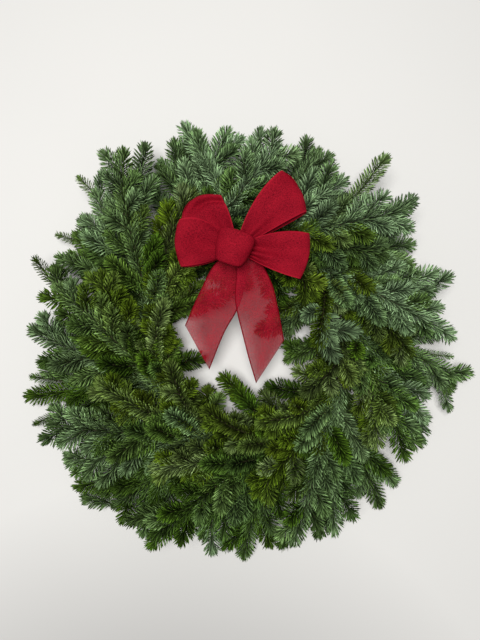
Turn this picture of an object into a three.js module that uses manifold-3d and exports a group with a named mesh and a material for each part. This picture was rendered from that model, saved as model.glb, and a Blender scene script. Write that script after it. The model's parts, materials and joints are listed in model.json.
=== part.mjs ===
// A fresh evergreen wreath lying on its back, face up: a welded double-rail clamp ring, nine bunches of
// cut fir sprays held by the ring's clamps, and a ribbon bow wired to the ring at the top of the wreath.
// Millimetres, +Z up, +Y towards the bow. Every spray is one solid: a slim three-sided twig whose needles
// and side twigs are raised from its own surface by formula.
import * as THREE from "three";
import Module from "manifold-3d";

const wasm = await Module();
wasm.setup();

// Clamp ring, a usual 12-inch double-rail ring.
const railRadii = [128.5, 152];
const railWire = 3;
const railSteps = 30;
const wireSides = 6;
const clampCount = 9;
const clampWire = 2.6;
const clampLegRadii = [121, 158.8];
const crossbarHeight = 3.95;
const prongHeight = 11.35;
const prongGap = 2.4;
const firstClampAngle = 98;
const clampPitch = 360 / clampCount;

// Cut stems side by side in each clamp.
const stemRadius = 2.4;
const slotRadii = [154.2, 149.2, 144.2, 139.2, 134.2, 129.2];
const stemHeight = 6.8;
const tipRadius = 1.15;
const firstTurn = 90;
const meetingTurn = 20;
const stemBehindClamp = 24;

// Needles: width along the twig at the root, lean from the twig, and the leans and lengths to try.
const needleRoot = 2.2;
const needleLean = 50;
const needleStart = 0.12;
const leastSpread = 0.96;
const bandPitch = 24;
const bareLength = 46;
const tipMargin = 9;
const bareRings = [3, 26];
const twigBandPitch = 38;
const twigRadii = [1.5, 0.95];
const lowestNeedle = 0.8;
const needleTries = [[0, 21], [12, 20], [-12, 20], [22, 18], [-18, 17], [6, 13]];
const flatEvery = 6;
const leastRise = 0.6;
const needleClearance = 1.8;
const coreClearance = 3.4;
const cellSize = 12;

// How far the sprays of each bunch reach, measured from the middle of the ring to the tips of their twigs.
const outerLowReach = [290, 293, 312, 301, 304, 330, 318, 303, 317];
const outerHighReach = [300, 276, 278, 282, 271, 296, 294, 308, 289];
const outerTopReach = [270, 263, 254, 266, 284, 283, 282, 298, 272];
const innerCrestReach = [103, 88, 100, 108, 106, 112, 126, 134, 130];
const innerReach = [68, 50, 56, 67, 64, 66, 84, 68, 76];

// One spray of each kind in every bunch. Turn is how far round the ring the tip lies past its clamp, and
// lean is the tip's own heading, both clockwise in degrees. Side is the usual length of a side twig, and far
// the usual reach where the bunches have no list of their own. Both are in millimetres.
const kinds = [
  { name: "outer_low", turn: 30, height: 20, lean: 22, slope: 0.02, from: 52, into: 78, side: 66 },
  { name: "outer_high", turn: 43, height: 46, lean: 26, slope: 0.08, from: 60, into: 80, side: 66 },
  { name: "outer_top", turn: 57, height: 70, lean: 34, slope: 0.12, from: 74, into: 84, side: 62 },
  { name: "crest", turn: 64, height: 84, lean: 52, slope: 0.16, from: 80, into: 66, side: 54, far: 210 },
  { name: "inner_crest", turn: 66, height: 66, lean: 90, slope: 0.1, from: 70, into: 56, side: 46 },
  { name: "inner", turn: 50, height: 32, lean: 118, slope: 0, from: 44, into: 52, side: 38 },
];
const mainLifts = [0, 5, -5, 10, -9, 15];
const mainClearance = 14;

// Side twigs: their angle from the main twig, how much they straighten, and the tilts and sizes to try.
const twigAngle = 47;
const twigStraightening = 16;
const twigTilts = [8, 20, -6, 32, -18, 44, 58];
const twigSizes = [1, 0.8, 0.62];
const twigClearance = 9;
const leastClearance = 5.5;
const lowestTwig = 6.5;

// Bow, tied over the first clamp: the middle of its waist and the fan of each loop. A loop's fold is
// skewed towards its left side and bulges in the middle.
const bowWaist = [-19, 119.6, 96.5];
const waistSize = [15, 12, 9];
const ribbonThickness = 0.8;
const ribbonColumns = 2;
const loopRows = 13;
const tailRows = 8;
const waistWidth = 3;
const bowLoops = [
  { heading: 43, reach: 98, fold: 57, rise: 22, puff: 26, skew: 6, bulge: 7 },
  { heading: -7.5, reach: 86, fold: 58, rise: 14, puff: 24, skew: 2, bulge: 5 },
  { heading: 132, reach: 65, fold: 56, rise: 16, puff: 26, skew: 6, bulge: 14 },
  { heading: 177, reach: 69, fold: 56, rise: 18, puff: 24, skew: -2, bulge: 6 },
];
const centreLoop = { width: 44, height: 25, length: 42, turn: -12, offset: [1, -1], middle: 115.9 };
const tailWaist = [-19, 119.6, 87.5];
const tailWaistSize = [14, 11, 8];
// Each tail's two edges from the waist to the slanted cut: left edge, then right edge.
const tailEdges = [
  [
    [[-24, 118, 87], [-46, 102, 86], [-68, 63, 76], [-88, 22, 58]],
    [[-16, 117, 87], [-9, 92, 84], [-17, 47, 76], [-35, 12, 64], [-56, -39, 44]],
  ],
  [
    [[-22, 118, 89], [-10, 91, 90], [-15, 47, 83], [-6, -8, 66], [8, -58, 44]],
    [[-14, 118, 89], [6, 111, 88], [27, 77, 84], [35, 48, 78], [45, 2, 62]],
  ],
];
const ribbonRoom = 2.9;
const tieWire = 1.2;
const tieRadius = 124.6;
const tieShift = 1;
const wireRoom = 1.2;

const red = new THREE.MeshStandardMaterial({ color: 0x9c1428, roughness: 0.8, metalness: 0 });
const fir = new THREE.MeshStandardMaterial({ color: 0x3f5a34, roughness: 0.7, metalness: 0 });
const steel = new THREE.MeshStandardMaterial({ color: 0x3b4a3c, roughness: 0.5, metalness: 0.6 });

const radians = (degrees) => (degrees * Math.PI) / 180;
const vec = (x, y, z) => new THREE.Vector3(x, y, z);
function polar(angle, radius, z) {
  return vec(radius * Math.cos(radians(angle)), radius * Math.sin(radians(angle)), z);
}
const outward = (angle) => polar(angle, 1, 0);
const clockwise = (angle) => polar(angle - 90, 1, 0);

// A repeatable number from 0 to 1 for item j of spray i.
function noise(i, j) {
  const value = Math.sin(i * 127.1 + j * 311.7) * 43758.5453;
  return value - Math.floor(value);
}
const spread = (i, j, range) => (noise(i, j) * 2 - 1) * range;

// The sum of a and b, each times its own share.
function blend(a, shareOfA, b, shareOfB) {
  return a.clone().multiplyScalar(shareOfA).addScaledVector(b, shareOfB);
}

// A closed surface is its points, and its triangles as numbers of points.
const coordinatesOf = (surface) => surface.points.flatMap((point) => point.toArray());

function meshOf(surface, material, name) {
  const geometry = new THREE.BufferGeometry();
  geometry.setAttribute("position", new THREE.Float32BufferAttribute(coordinatesOf(surface), 3));
  geometry.setIndex(surface.faces.flat());
  geometry.computeVertexNormals();
  const mesh = new THREE.Mesh(geometry, material);
  mesh.name = name;
  return mesh;
}

function solidOf(surface) {
  const vertProperties = new Float32Array(coordinatesOf(surface));
  const triVerts = new Uint32Array(surface.faces.flat());
  return new wasm.Manifold(new wasm.Mesh({ numProp: 3, vertProperties, triVerts }));
}

function surfaceOf(solid) {
  const mesh = solid.getMesh();
  const points = [];
  for (let i = 0; i < mesh.numVert; i++) points.push(vec(...mesh.vertProperties.subarray(i * 3, i * 3 + 3)));
  const faces = [];
  for (let i = 0; i < mesh.triVerts.length; i += 3) faces.push([...mesh.triVerts.subarray(i, i + 3)]);
  return { points, faces };
}

// The two crossways directions of a twig or wire that heads along `along`: its left, and its upper side.
function crossways(along) {
  const left = vec(-along.y, along.x, 0);
  if (left.length() < 1e-6) left.set(1, 0, 0);
  left.normalize();
  return [left, new THREE.Vector3().crossVectors(along, left)];
}

// Adds a ring of `count` corners round a point and returns their numbers.
function addRing(surface, centre, along, radius, count, turn) {
  const [left, up] = crossways(along);
  const ring = [];
  for (let i = 0; i < count; i++) {
    const angle = radians(turn + (360 * i) / count);
    const off = blend(left, radius * Math.cos(angle), up, radius * Math.sin(angle));
    ring.push(surface.points.push(off.add(centre)) - 1);
  }
  return ring;
}

// The triangles between two rings, two to a side, facing out.
function bandTriangles(near, far) {
  const triangles = [];
  near.forEach((corner, i) => {
    const next = (i + 1) % near.length;
    triangles.push([corner, near[next], far[next]], [corner, far[next], far[i]]);
  });
  return triangles;
}

// A wire along straight lines between points, mitred at each of them, with flat ends or closed. The first
// corner of its section at a point faces the way that `acrossAt` gives.
function wireSurface(path, radius, sides, acrossAt, closed) {
  const surface = { points: [], faces: [] };
  const rings = path.map((point, i) => {
    const before = path[i ? i - 1 : closed ? path.length - 1 : 0];
    const after = path[i < path.length - 1 ? i + 1 : closed ? 0 : i];
    const into = point.clone().sub(before).normalize();
    const out = after.clone().sub(point).normalize();
    const along = into.clone().add(out).normalize();
    const across = acrossAt(point);
    const up = new THREE.Vector3().crossVectors(along, across).normalize();
    const stretch = 1 / Math.max(along.dot(into.length() ? into : out), 0.5);
    return Array.from({ length: sides }, (_, n) => {
      const turn = (2 * Math.PI * n) / sides;
      const corner = point.clone().addScaledVector(across, radius * Math.cos(turn));
      return surface.points.push(corner.addScaledVector(up, radius * stretch * Math.sin(turn))) - 1;
    });
  });
  for (let i = 0; i < rings.length - 1; i++) surface.faces.push(...bandTriangles(rings[i], rings[i + 1]));
  if (closed) surface.faces.push(...bandTriangles(rings.at(-1), rings[0]));
  else {
    for (let i = 1; i < sides - 1; i++) {
      surface.faces.push([rings[0][0], rings[0][i + 1], rings[0][i]]);
      surface.faces.push([rings.at(-1)[0], rings.at(-1)[i], rings.at(-1)[i + 1]]);
    }
  }
  return surface;
}

const outwardOf = (point) => vec(point.x, point.y, 0).normalize();

// The points of a rail, clockwise.
function railPath(radius, steps) {
  return Array.from({ length: steps }, (_, i) => polar((-360 * i) / steps, radius, railWire / 2));
}

// The clamp ring: two rails and nine clamps, each a crossbar welded on both rails with its two legs bent
// over the stems.
function clampRing() {
  const corner = railWire / 2 / Math.cos(radians(180 / wireSides));
  const wires = railRadii.map((radius) =>
    wireSurface(railPath(radius, railSteps), corner, wireSides, outwardOf, true),
  );
  for (let k = 0; k < clampCount; k++) {
    const angle = firstClampAngle - clampPitch * k;
    const along = () => clockwise(angle);
    wires.push(wireSurface(clampPath(angle), clampWire / 2, wireSides, along, false));
  }
  return surfaceOf(wires.map(solidOf).reduce((all, wire) => all.add(wire)));
}

function clampPath(angle) {
  const middle = (clampLegRadii[0] + clampLegRadii[1]) / 2;
  return [
    polar(angle, middle - prongGap / 2, prongHeight),
    polar(angle, clampLegRadii[0], prongHeight),
    polar(angle, clampLegRadii[0], crossbarHeight),
    polar(angle, clampLegRadii[1], crossbarHeight),
    polar(angle, clampLegRadii[1], prongHeight),
    polar(angle, middle + prongGap / 2, prongHeight),
  ];
}

// A line through space as a cubic curve, with points and headings by distance along it.
function curveThrough(a, b, c, d) {
  const curve = new THREE.CubicBezierCurve3(a, b, c, d);
  curve.arcLengthDivisions = 40;
  return curve;
}

// How much the foliage is pressed down under the bow.
function pressed(point) {
  const away = Math.hypot(point.x - bowWaist[0] - 8, point.y - bowWaist[1] - 22);
  return 1 - 0.3 * Math.exp(-((away / 95) ** 2));
}

// The centre line of the spray of one kind in one bunch, with a change of height to try.
function mainLine(bunch, kind, lift) {
  const id = bunch * kinds.length + kind;
  const k = kinds[kind];
  const clampAngle = firstClampAngle - clampPitch * bunch;
  const reaches = [outerLowReach, outerHighReach, outerTopReach, null, innerCrestReach, innerReach][kind];
  const reach = reaches ? reaches[bunch] : k.far + spread(id, 1, 10);
  const turn = k.turn + spread(id, 2, reaches ? 2 : 5);
  const tip = polar(clampAngle - turn, reach, k.height + spread(id, 3, 4) + lift);
  tip.z *= pressed(tip);
  const lean = radians(k.lean + spread(id, 4, 12));
  const tipAngle = clampAngle - turn;
  const heading = blend(outward(tipAngle), Math.cos(lean), clockwise(tipAngle), Math.sin(lean));
  heading.z = k.slope;
  const start = polar(clampAngle, slotRadii[kind], stemHeight);
  const leave = start.clone().addScaledVector(clockwise(clampAngle), k.from);
  const arrive = tip.clone().addScaledVector(heading, -k.into);
  return curveThrough(start, leave, arrive, tip);
}

// A side twig that leaves the main twig to one side and bends forward, with its tilt and length to try.
function twigLine(root, along, sideways, tilt, length, angle) {
  const [left, up] = crossways(along);
  const away = blend(left, sideways * Math.cos(radians(tilt)), up, Math.sin(radians(tilt)));
  const headingAt = (turn) => blend(along, Math.cos(radians(turn)), away, Math.sin(radians(turn)));
  const out = headingAt(angle);
  const late = headingAt(angle - twigStraightening);
  const middle = root.clone().addScaledVector(out, length * 0.45);
  const end = middle.clone().addScaledVector(late, length * 0.55);
  return curveThrough(root, root.clone().addScaledVector(out, length * 0.3), middle, end);
}

function samplesOf(curve, count) {
  return Array.from({ length: count + 1 }, (_, i) => curve.getPointAt(i / count));
}

// The nearest distance from any of some points to any point already placed by another spray.
function clearanceOf(points, placed, owner) {
  let nearest = Infinity;
  for (const other of placed) {
    if (other.owner === owner) continue;
    for (const point of points) nearest = Math.min(nearest, point.distanceTo(other.point));
  }
  return nearest;
}

// Takes the first try that stays clear, or the clearest.
function firstClear(tries, build, placed, owner, wanted) {
  let best = null;
  for (const attempt of tries) {
    const curve = build(attempt);
    const points = samplesOf(curve, 14).slice(2);
    const tooLow = points.some((point) => point.z < lowestTwig);
    const clear = tooLow ? 0 : clearanceOf(points, placed, owner);
    if (!best || clear > best.clear) best = { attempt, curve, points, clear };
    if (clear >= wanted) break;
  }
  return best;
}

// Distances along a main twig where its needles and side twigs stand.
function bandPlaces(length) {
  const bare = Math.min(bareLength, length * 0.3);
  const count = Math.round((length - bare) / bandPitch);
  return Array.from({ length: count }, (_, i) => bare + ((length - bare - tipMargin) * i) / (count - 1));
}

// All the sprays' lines: first the main twigs, then the side twigs that fit between them.
function layOutSprays(placed) {
  const sprays = [];
  const twigTries = twigTilts.flatMap((tilt) => twigSizes.map((size) => [tilt, size]));
  for (let bunch = 0; bunch < clampCount; bunch++) {
    for (let kind = 0; kind < kinds.length; kind++) {
      const id = bunch * kinds.length + kind;
      const build = (lift) => mainLine(bunch, kind, lift);
      const found = firstClear(mainLifts, build, placed, id, mainClearance);
      found.points.forEach((point) => placed.push({ point, owner: id }));
      const bands = bandPlaces(found.curve.getLength());
      sprays.push({ id, kind, main: found.curve, bands, twigs: [] });
    }
  }
  for (const spray of sprays) {
    const k = kinds[spray.kind];
    for (let band = 0; band < spray.bands.length - 1; band++) {
      const share = spray.bands[band] / spray.main.getLength();
      const root = spray.main.getPointAt(share);
      const along = spray.main.getTangentAt(share);
      const sideways = (spray.id + band) % 2 ? 1 : -1;
      const taper = 1.15 - (0.6 * band) / (spray.bands.length - 1);
      const length = k.side * taper * (1 + spread(spray.id, 20 + band, 0.14));
      const angle = twigAngle + spread(spray.id, 30 + band, 6);
      const build = ([tilt, size]) => twigLine(root, along, sideways, tilt, length * size, angle);
      const found = firstClear(twigTries, build, placed, spray.id, twigClearance);
      if (found.clear < leastClearance) continue;
      found.points.forEach((point) => placed.push({ point, owner: spray.id }));
      const tilt = found.attempt[0];
      spray.twigs.push({ band, curve: found.curve, towards: sideways > 0 ? tilt : 180 - tilt });
    }
  }
  return sprays;
}

// Straight pieces already in place, found by the cells of space that they pass through.
class Neighbourhood {
  constructor() {
    this.cells = new Map();
  }
  keysOf(a, b, reach) {
    const keys = [];
    const low = a.clone().min(b).subScalar(reach).divideScalar(cellSize).floor();
    const high = a.clone().max(b).addScalar(reach).divideScalar(cellSize).floor();
    for (let x = low.x; x <= high.x; x++)
      for (let y = low.y; y <= high.y; y++)
        for (let z = low.z; z <= high.z; z++) keys.push(x + ":" + y + ":" + z);
    return keys;
  }
  add(piece) {
    for (const key of this.keysOf(piece.a, piece.b, 0)) {
      if (!this.cells.has(key)) this.cells.set(key, []);
      this.cells.get(key).push(piece);
    }
  }
  isClear(a, b, radius, mayTouch) {
    for (const key of this.keysOf(a, b, coreClearance + 1)) {
      for (const piece of this.cells.get(key) ?? []) {
        if (!mayTouch(piece) && gapBetween(a, b, piece.a, piece.b) < radius + piece.radius) return false;
      }
    }
    return true;
  }
}

// The nearest distance between two straight pieces, a to b and c to d.
function gapBetween(a, b, c, d) {
  const ab = b.clone().sub(a);
  const cd = d.clone().sub(c);
  const ca = a.clone().sub(c);
  const abab = Math.max(ab.dot(ab), 1e-9);
  const cdcd = Math.max(cd.dot(cd), 1e-9);
  const abcd = ab.dot(cd);
  const limit = (value) => Math.min(Math.max(value, 0), 1);
  const spreadOf = abab * cdcd - abcd * abcd;
  const s = spreadOf > 1e-6 ? limit((abcd * cd.dot(ca) - cdcd * ab.dot(ca)) / spreadOf) : 0;
  const t = limit((abcd * s + cd.dot(ca)) / cdcd);
  const again = limit((abcd * t - ab.dot(ca)) / abab);
  return a.clone().addScaledVector(ab, again).distanceTo(c.clone().addScaledVector(cd, t));
}

const middleOf = (surface, triangle) =>
  triangle.reduce((sum, n) => sum.add(surface.points[n]), vec(0, 0, 0)).divideScalar(3);

// Raises one triangle of a twig to a needle if there is room for it, and adds its faces.
function raiseNeedle(surface, triangle, at, seed, neighbours, owner) {
  const root = middleOf(surface, triangle);
  const [left, up] = crossways(at.along);
  const off = root.clone().sub(at.centre);
  const turn = Math.atan2(off.dot(up), off.dot(left));
  const face = new THREE.Triangle(...triangle.map((n) => surface.points[n])).getNormal(vec(0, 0, 0));
  for (const [more, length] of needleTries) {
    const angle = turn + radians(spread(seed, 1, 5));
    const lean = radians(needleLean + more + spread(seed, 2, 4));
    const out = blend(left, Math.cos(angle), up, Math.sin(angle));
    const apex = blend(at.along, length * Math.cos(lean), out, length * Math.sin(lean)).add(root);
    const start = root.clone().lerp(apex, needleStart);
    if (apex.z < lowestNeedle || start.z < lowestNeedle) continue;
    if (face.dot(apex.clone().sub(root)) < leastRise * length) continue;
    const sameLine = (piece) => piece.owner === owner && (piece.line === at.line || piece.band === at.band);
    if (!neighbours.isClear(start, apex, 0, sameLine)) continue;
    const crosses = (other) =>
      gapBetween(root, apex, other.a, other.b) < leastSpread * root.distanceTo(other.a);
    if (at.grown.some(crosses)) continue;
    at.grown.push({ a: root, b: apex });
    surface.points.push(apex);
    const top = surface.points.length - 1;
    const [p, q, r] = triangle;
    surface.faces.push([p, q, top], [q, r, top], [r, p, top]);
    neighbours.add({ a: start, b: apex, radius: needleClearance, owner, line: at.line, band: at.band });
    return;
  }
  surface.faces.push(triangle);
}

// A twig grown along its curve from a ring of three corners: plain stretches, and short bands whose
// triangles are raised to needles. A triangle that a side twig grows from is kept for it in `bases`.
function growTwig(surface, first, startTurn, curve, bands, radiusAt, owner, line, neighbours, bases) {
  let ring = first;
  const length = curve.getLength();
  bands.forEach((distance, n) => {
    const turn = startTurn - 60 * n;
    const share = distance / length;
    const along = curve.getTangentAt(share);
    const near = addRing(surface, curve.getPointAt(share), along, radiusAt(share), 3, turn);
    const next = Math.min((distance + needleRoot) / length, 1);
    const far = addRing(surface, curve.getPointAt(next), along, radiusAt(next), 3, turn);
    surface.faces.push(...bandTriangles(ring, near));
    const base = bases[n];
    const triangles = bandTriangles(near, far);
    const grown = [];
    if (base) grown.push({ a: middleOf(surface, triangles[base.at]), b: base.curve.getPointAt(0.8) });
    const at = { centre: curve.getPointAt(share), along, line, band: line + ":" + n, grown };
    triangles.forEach((triangle, i) => {
      if (base && i === base.at) {
        base.base = triangle;
        return;
      }
      if ((base && i === base.at + 1) || (i + n) % flatEvery === flatEvery - 1) surface.faces.push(triangle);
      else raiseNeedle(surface, triangle, at, owner * 97 + line * 31 + n * 7 + i, neighbours, owner);
    });
    ring = far;
  });
  surface.points.push(curve.getPointAt(1).clone());
  const top = surface.points.length - 1;
  for (let i = 0; i < 3; i++) surface.faces.push([ring[i], ring[(i + 1) % 3], top]);
}

// The triangle of a needle band that a side twig grows from: the first of the side that faces its way.
function twigBase(band, towards) {
  const facing = (side) => Math.cos(radians(firstTurn - 60 * band + 120 * side + 60 - towards));
  return 2 * [0, 1, 2].reduce((best, side) => (facing(side) > facing(best) ? side : best));
}

// The turn at which a ring of three corners best meets a triangle that a side twig grows from.
function turnToMeet(surface, triangle, curve) {
  const [left, up] = crossways(curve.getTangentAt(0));
  let x = 0;
  let y = 0;
  const middle = middleOf(surface, triangle);
  triangle.forEach((n, i) => {
    const off = surface.points[n].clone().sub(middle);
    const angle = Math.atan2(off.dot(up), off.dot(left)) - radians(120 * i);
    x += Math.cos(angle);
    y += Math.sin(angle);
  });
  return THREE.MathUtils.radToDeg(Math.atan2(y, x)) - meetingTurn;
}

const cutEnd = (main) => main.getPointAt(0).addScaledVector(main.getTangentAt(0), -stemBehindClamp);

function growSpray(spray, neighbours) {
  const surface = { points: [], faces: [] };
  const { main, id } = spray;
  const length = main.getLength();
  const radiusAt = (share) => stemRadius + (tipRadius - stemRadius) * share;
  let ring = addRing(surface, cutEnd(main), main.getTangentAt(0), stemRadius, 3, firstTurn);
  surface.faces.push([ring[0], ring[2], ring[1]]);
  for (const distance of bareRings) {
    const share = distance / length;
    const centre = main.getPointAt(share);
    const next = addRing(surface, centre, main.getTangentAt(share), radiusAt(share), 3, firstTurn);
    surface.faces.push(...bandTriangles(ring, next));
    ring = next;
  }
  const bases = {};
  for (const { band, towards, curve } of spray.twigs) bases[band] = { at: twigBase(band, towards), curve };
  growTwig(surface, ring, firstTurn, main, spray.bands, radiusAt, id, 0, neighbours, bases);
  spray.twigs.forEach((twig, n) => {
    const first = bases[twig.band].base;
    const size = twig.curve.getLength();
    const count = Math.max(1, Math.round(size / twigBandPitch));
    const places = Array.from({ length: count }, (_, i) => (size * (i + 1.1)) / (count + 0.6));
    const turn = turnToMeet(surface, first, twig.curve);
    const twigRadius = (share) => twigRadii[0] + (twigRadii[1] - twigRadii[0]) * share;
    growTwig(surface, first, turn, twig.curve, places, twigRadius, id, n + 1, neighbours, {});
  });
  return surface;
}

// A sheet of cloth of even thickness over a grid of points, with its rims closed. A sheet that is closed
// on itself has no end rims.
function sheetSurface(at, across, along, closed) {
  const surface = { points: [], faces: [] };
  const step = 1e-3;
  const rows = closed ? along : along + 1;
  const number = (i, j, side) => ((i % rows) * (across + 1) + j) * 2 + side;
  for (let i = 0; i < rows; i++) {
    for (let j = 0; j <= across; j++) {
      const u = i / along;
      const v = (2 * j) / across - 1;
      const du = at(u + step, v).sub(at(u - step, v));
      const dv = at(u, Math.min(v + step, 1)).sub(at(u, Math.max(v - step, -1)));
      const normal = du.cross(dv).normalize().multiplyScalar(ribbonThickness / 2);
      surface.points.push(at(u, v).add(normal), at(u, v).sub(normal));
    }
  }
  const quad = (a, b, c, d) => surface.faces.push([a, b, c], [a, c, d]);
  for (let i = 0; i < along; i++) {
    for (let j = 0; j < across; j++) {
      quad(number(i, j, 0), number(i + 1, j, 0), number(i + 1, j + 1, 0), number(i, j + 1, 0));
      quad(number(i, j, 1), number(i, j + 1, 1), number(i + 1, j + 1, 1), number(i + 1, j, 1));
    }
    quad(number(i, 0, 1), number(i + 1, 0, 1), number(i + 1, 0, 0), number(i, 0, 0));
    quad(number(i, across, 0), number(i + 1, across, 0), number(i + 1, across, 1), number(i, across, 1));
  }
  for (let j = 0; j < across && !closed; j++) {
    quad(number(0, j, 0), number(0, j + 1, 0), number(0, j + 1, 1), number(0, j, 1));
    quad(number(along, j, 0), number(along, j, 1), number(along, j + 1, 1), number(along, j + 1, 0));
  }
  return surface;
}

// One loop of the bow: out from the waist, over a flat fold and back, fanning out on the way.
function loopPoint(loop, u, v) {
  const round = 2 * Math.PI * (0.03 + 0.94 * u);
  const share = (1 - Math.cos(round)) / 2;
  const half = (waistWidth + (loop.fold - waistWidth) * share) / 2;
  const lift = (loop.puff / 2) * Math.sin(round) * Math.sin(round / 2) ** 2;
  const reach = loop.reach + loop.skew * v + loop.bulge * (1 - v * v);
  const heading = outward(loop.heading);
  const sideways = outward(loop.heading + 90);
  return vec(...bowWaist)
    .addScaledVector(heading, reach * share)
    .addScaledVector(sideways, half * v)
    .add(vec(0, 0, loop.rise * share ** 1.4 + lift));
}

// The gathered cloth where ribbons are pinched together.
function gathering(centre, size) {
  const ball = new THREE.SphereGeometry(0.5, 8, 6).toNonIndexed();
  ball.scale(size[0], size[1], size[2]);
  ball.translate(centre[0], centre[1], centre[2]);
  return solidOf(weld(ball));
}

// Welds the corners of loose triangles.
function weld(geometry) {
  const points = [];
  const numbers = new Map();
  const faces = [];
  const position = geometry.getAttribute("position");
  for (let i = 0; i < position.count; i += 3) {
    const face = [0, 1, 2].map((n) => {
      const point = vec(position.getX(i + n), position.getY(i + n), position.getZ(i + n));
      const key = point.toArray().map((c) => Math.round(c * 1e3)).join(":");
      if (!numbers.has(key)) numbers.set(key, points.push(point) - 1);
      return numbers.get(key);
    });
    if (new Set(face).size === 3) faces.push(face);
  }
  return { points, faces };
}

function centreLoopPoint(u, v) {
  const round = 2 * Math.PI * u;
  const narrowing = 1 + 0.13 * v;
  const turn = centreLoop.turn;
  return vec(bowWaist[0] + centreLoop.offset[0], bowWaist[1] + centreLoop.offset[1], centreLoop.middle)
    .addScaledVector(outward(turn), (centreLoop.width / 2) * narrowing * Math.cos(round))
    .addScaledVector(outward(turn + 90), (centreLoop.length / 2) * v)
    .add(vec(0, 0, (centreLoop.height / 2) * Math.sin(round)));
}

// A tail is the ruled cloth between its two edges; its end is cut on the slant.
function tailSheet(edges) {
  const [left, right] = edges.map((points) => new THREE.CatmullRomCurve3(points.map((p) => vec(...p))));
  const limit = (u) => Math.min(Math.max(u, 0), 1);
  return (u, v) => left.getPoint(limit(u)).lerp(right.getPoint(limit(u)), (v + 1) / 2);
}

// Sheets of cloth joined by their gathering.
function gatheredSurface(start, sheets, along) {
  const solids = sheets.map((sheet) => solidOf(sheetSurface(sheet, ribbonColumns, along, false)));
  return surfaceOf(solids.reduce((all, sheet) => all.add(sheet), start));
}

const loopSheets = bowLoops.map((loop) => (u, v) => loopPoint(loop, u, v));
const tailSheets = tailEdges.map(tailSheet);

// The wire that ties the bow on: hooked under a clamp's crossbar, up through the greens and over the waist.
function tieWirePath() {
  const across = clockwise(firstClampAngle).multiplyScalar(2.5);
  const foot = (height, sign) => polar(firstClampAngle, tieRadius, height).addScaledVector(across, sign);
  const [x, y, z] = [bowWaist[0] + tieShift, bowWaist[1], bowWaist[2]];
  const side = waistSize[1] / 2 + 1.7;
  const top = z + waistSize[2] / 2 + 0.95;
  return [
    foot(13, -1),
    foot(1.5, -1),
    foot(1.5, 1),
    foot(20, 1),
    foot(40, 1).lerp(vec(x, y + side, 40), 0.5),
    vec(x, y + side, 60),
    vec(x, y + side, top),
    vec(x, y - side, top),
    vec(x, y - side, z - 3),
  ];
}

// The hook at the wire's foot lies along the ring, and the turn at its top lies across the bow.
function tieWireAcross(point) {
  const turned = Math.min(Math.max((point.z - 20) / 40, 0), 1);
  return outward(firstClampAngle * (1 - turned));
}

// Lines of the bow, frame and wire that the greens stay clear of.
function bowRibs(count) {
  const ribs = [];
  for (const at of [...loopSheets, ...tailSheets, centreLoopPoint]) {
    for (let i = 0; i <= count; i++) ribs.push([at(i / count, -1), at(i / count, 1)]);
  }
  return ribs;
}

function placedByBow() {
  const placed = [];
  const drop = (a, b, parts) => {
    for (let i = 0; i <= parts; i++) placed.push({ point: a.clone().lerp(b, i / parts), owner: -1 });
  };
  for (const [a, b] of bowRibs(12)) drop(a, b, 4);
  const wire = tieWirePath();
  for (let i = 3; i < wire.length - 1; i++) drop(wire[i], wire[i + 1], 8);
  return placed;
}

function neighbourhoodOf(sprays) {
  const neighbours = new Neighbourhood();
  const addLine = (points, piece) => {
    for (let i = 0; i < points.length - 1; i++) {
      neighbours.add({ ...piece, a: points[i], b: points[i + 1] });
    }
  };
  const addWire = (points, wire) => addLine(points, { radius: wire / 2 + wireRoom, owner: -1 });
  for (const radius of railRadii) {
    const rail = railPath(radius, 2 * railSteps);
    addWire([...rail, rail[0]], railWire);
  }
  for (let k = 0; k < clampCount; k++) addWire(clampPath(firstClampAngle - clampPitch * k), clampWire);
  addWire(tieWirePath(), tieWire);
  for (const [a, b] of bowRibs(72)) neighbours.add({ a, b, radius: ribbonRoom, owner: -1 });
  for (const spray of sprays) {
    const twigOf = (line, band) => ({ radius: coreClearance, owner: spray.id, line, band });
    addLine([cutEnd(spray.main), ...samplesOf(spray.main, 30)], twigOf(0));
    spray.twigs.forEach((twig, n) => addLine(samplesOf(twig.curve, 8), twigOf(n + 1, "0:" + twig.band)));
  }
  return neighbours;
}

// The whole wreath, with its middle over the origin and its lowest face at z = 0.
const wreath = new THREE.Group();
const sprays = layOutSprays(placedByBow());
const neighbours = neighbourhoodOf(sprays);
wreath.add(meshOf(clampRing(), steel, "clamp_ring"));
for (const spray of sprays) {
  const bunch = Math.floor(spray.id / kinds.length) + 1;
  wreath.add(meshOf(growSpray(spray, neighbours), fir, "bunch_" + bunch + "_" + kinds[spray.kind].name));
}
const loops = gatheredSurface(gathering(bowWaist, waistSize), loopSheets, loopRows);
const centre = sheetSurface(centreLoopPoint, ribbonColumns, loopRows, true);
const tails = gatheredSurface(gathering(tailWaist, tailWaistSize), tailSheets, tailRows);
const tie = wireSurface(tieWirePath(), tieWire / 2, wireSides, tieWireAcross, false);
wreath.add(meshOf(loops, red, "bow_loops"));
wreath.add(meshOf(centre, red, "bow_centre_loop"));
wreath.add(meshOf(tails, red, "bow_tails"));
wreath.add(meshOf(tie, steel, "bow_tie_wire"));
const box = new THREE.Box3().setFromObject(wreath);
wreath.position.set(-(box.min.x + box.max.x) / 2, -(box.min.y + box.max.y) / 2, -box.min.z);

export default wreath;
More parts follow.
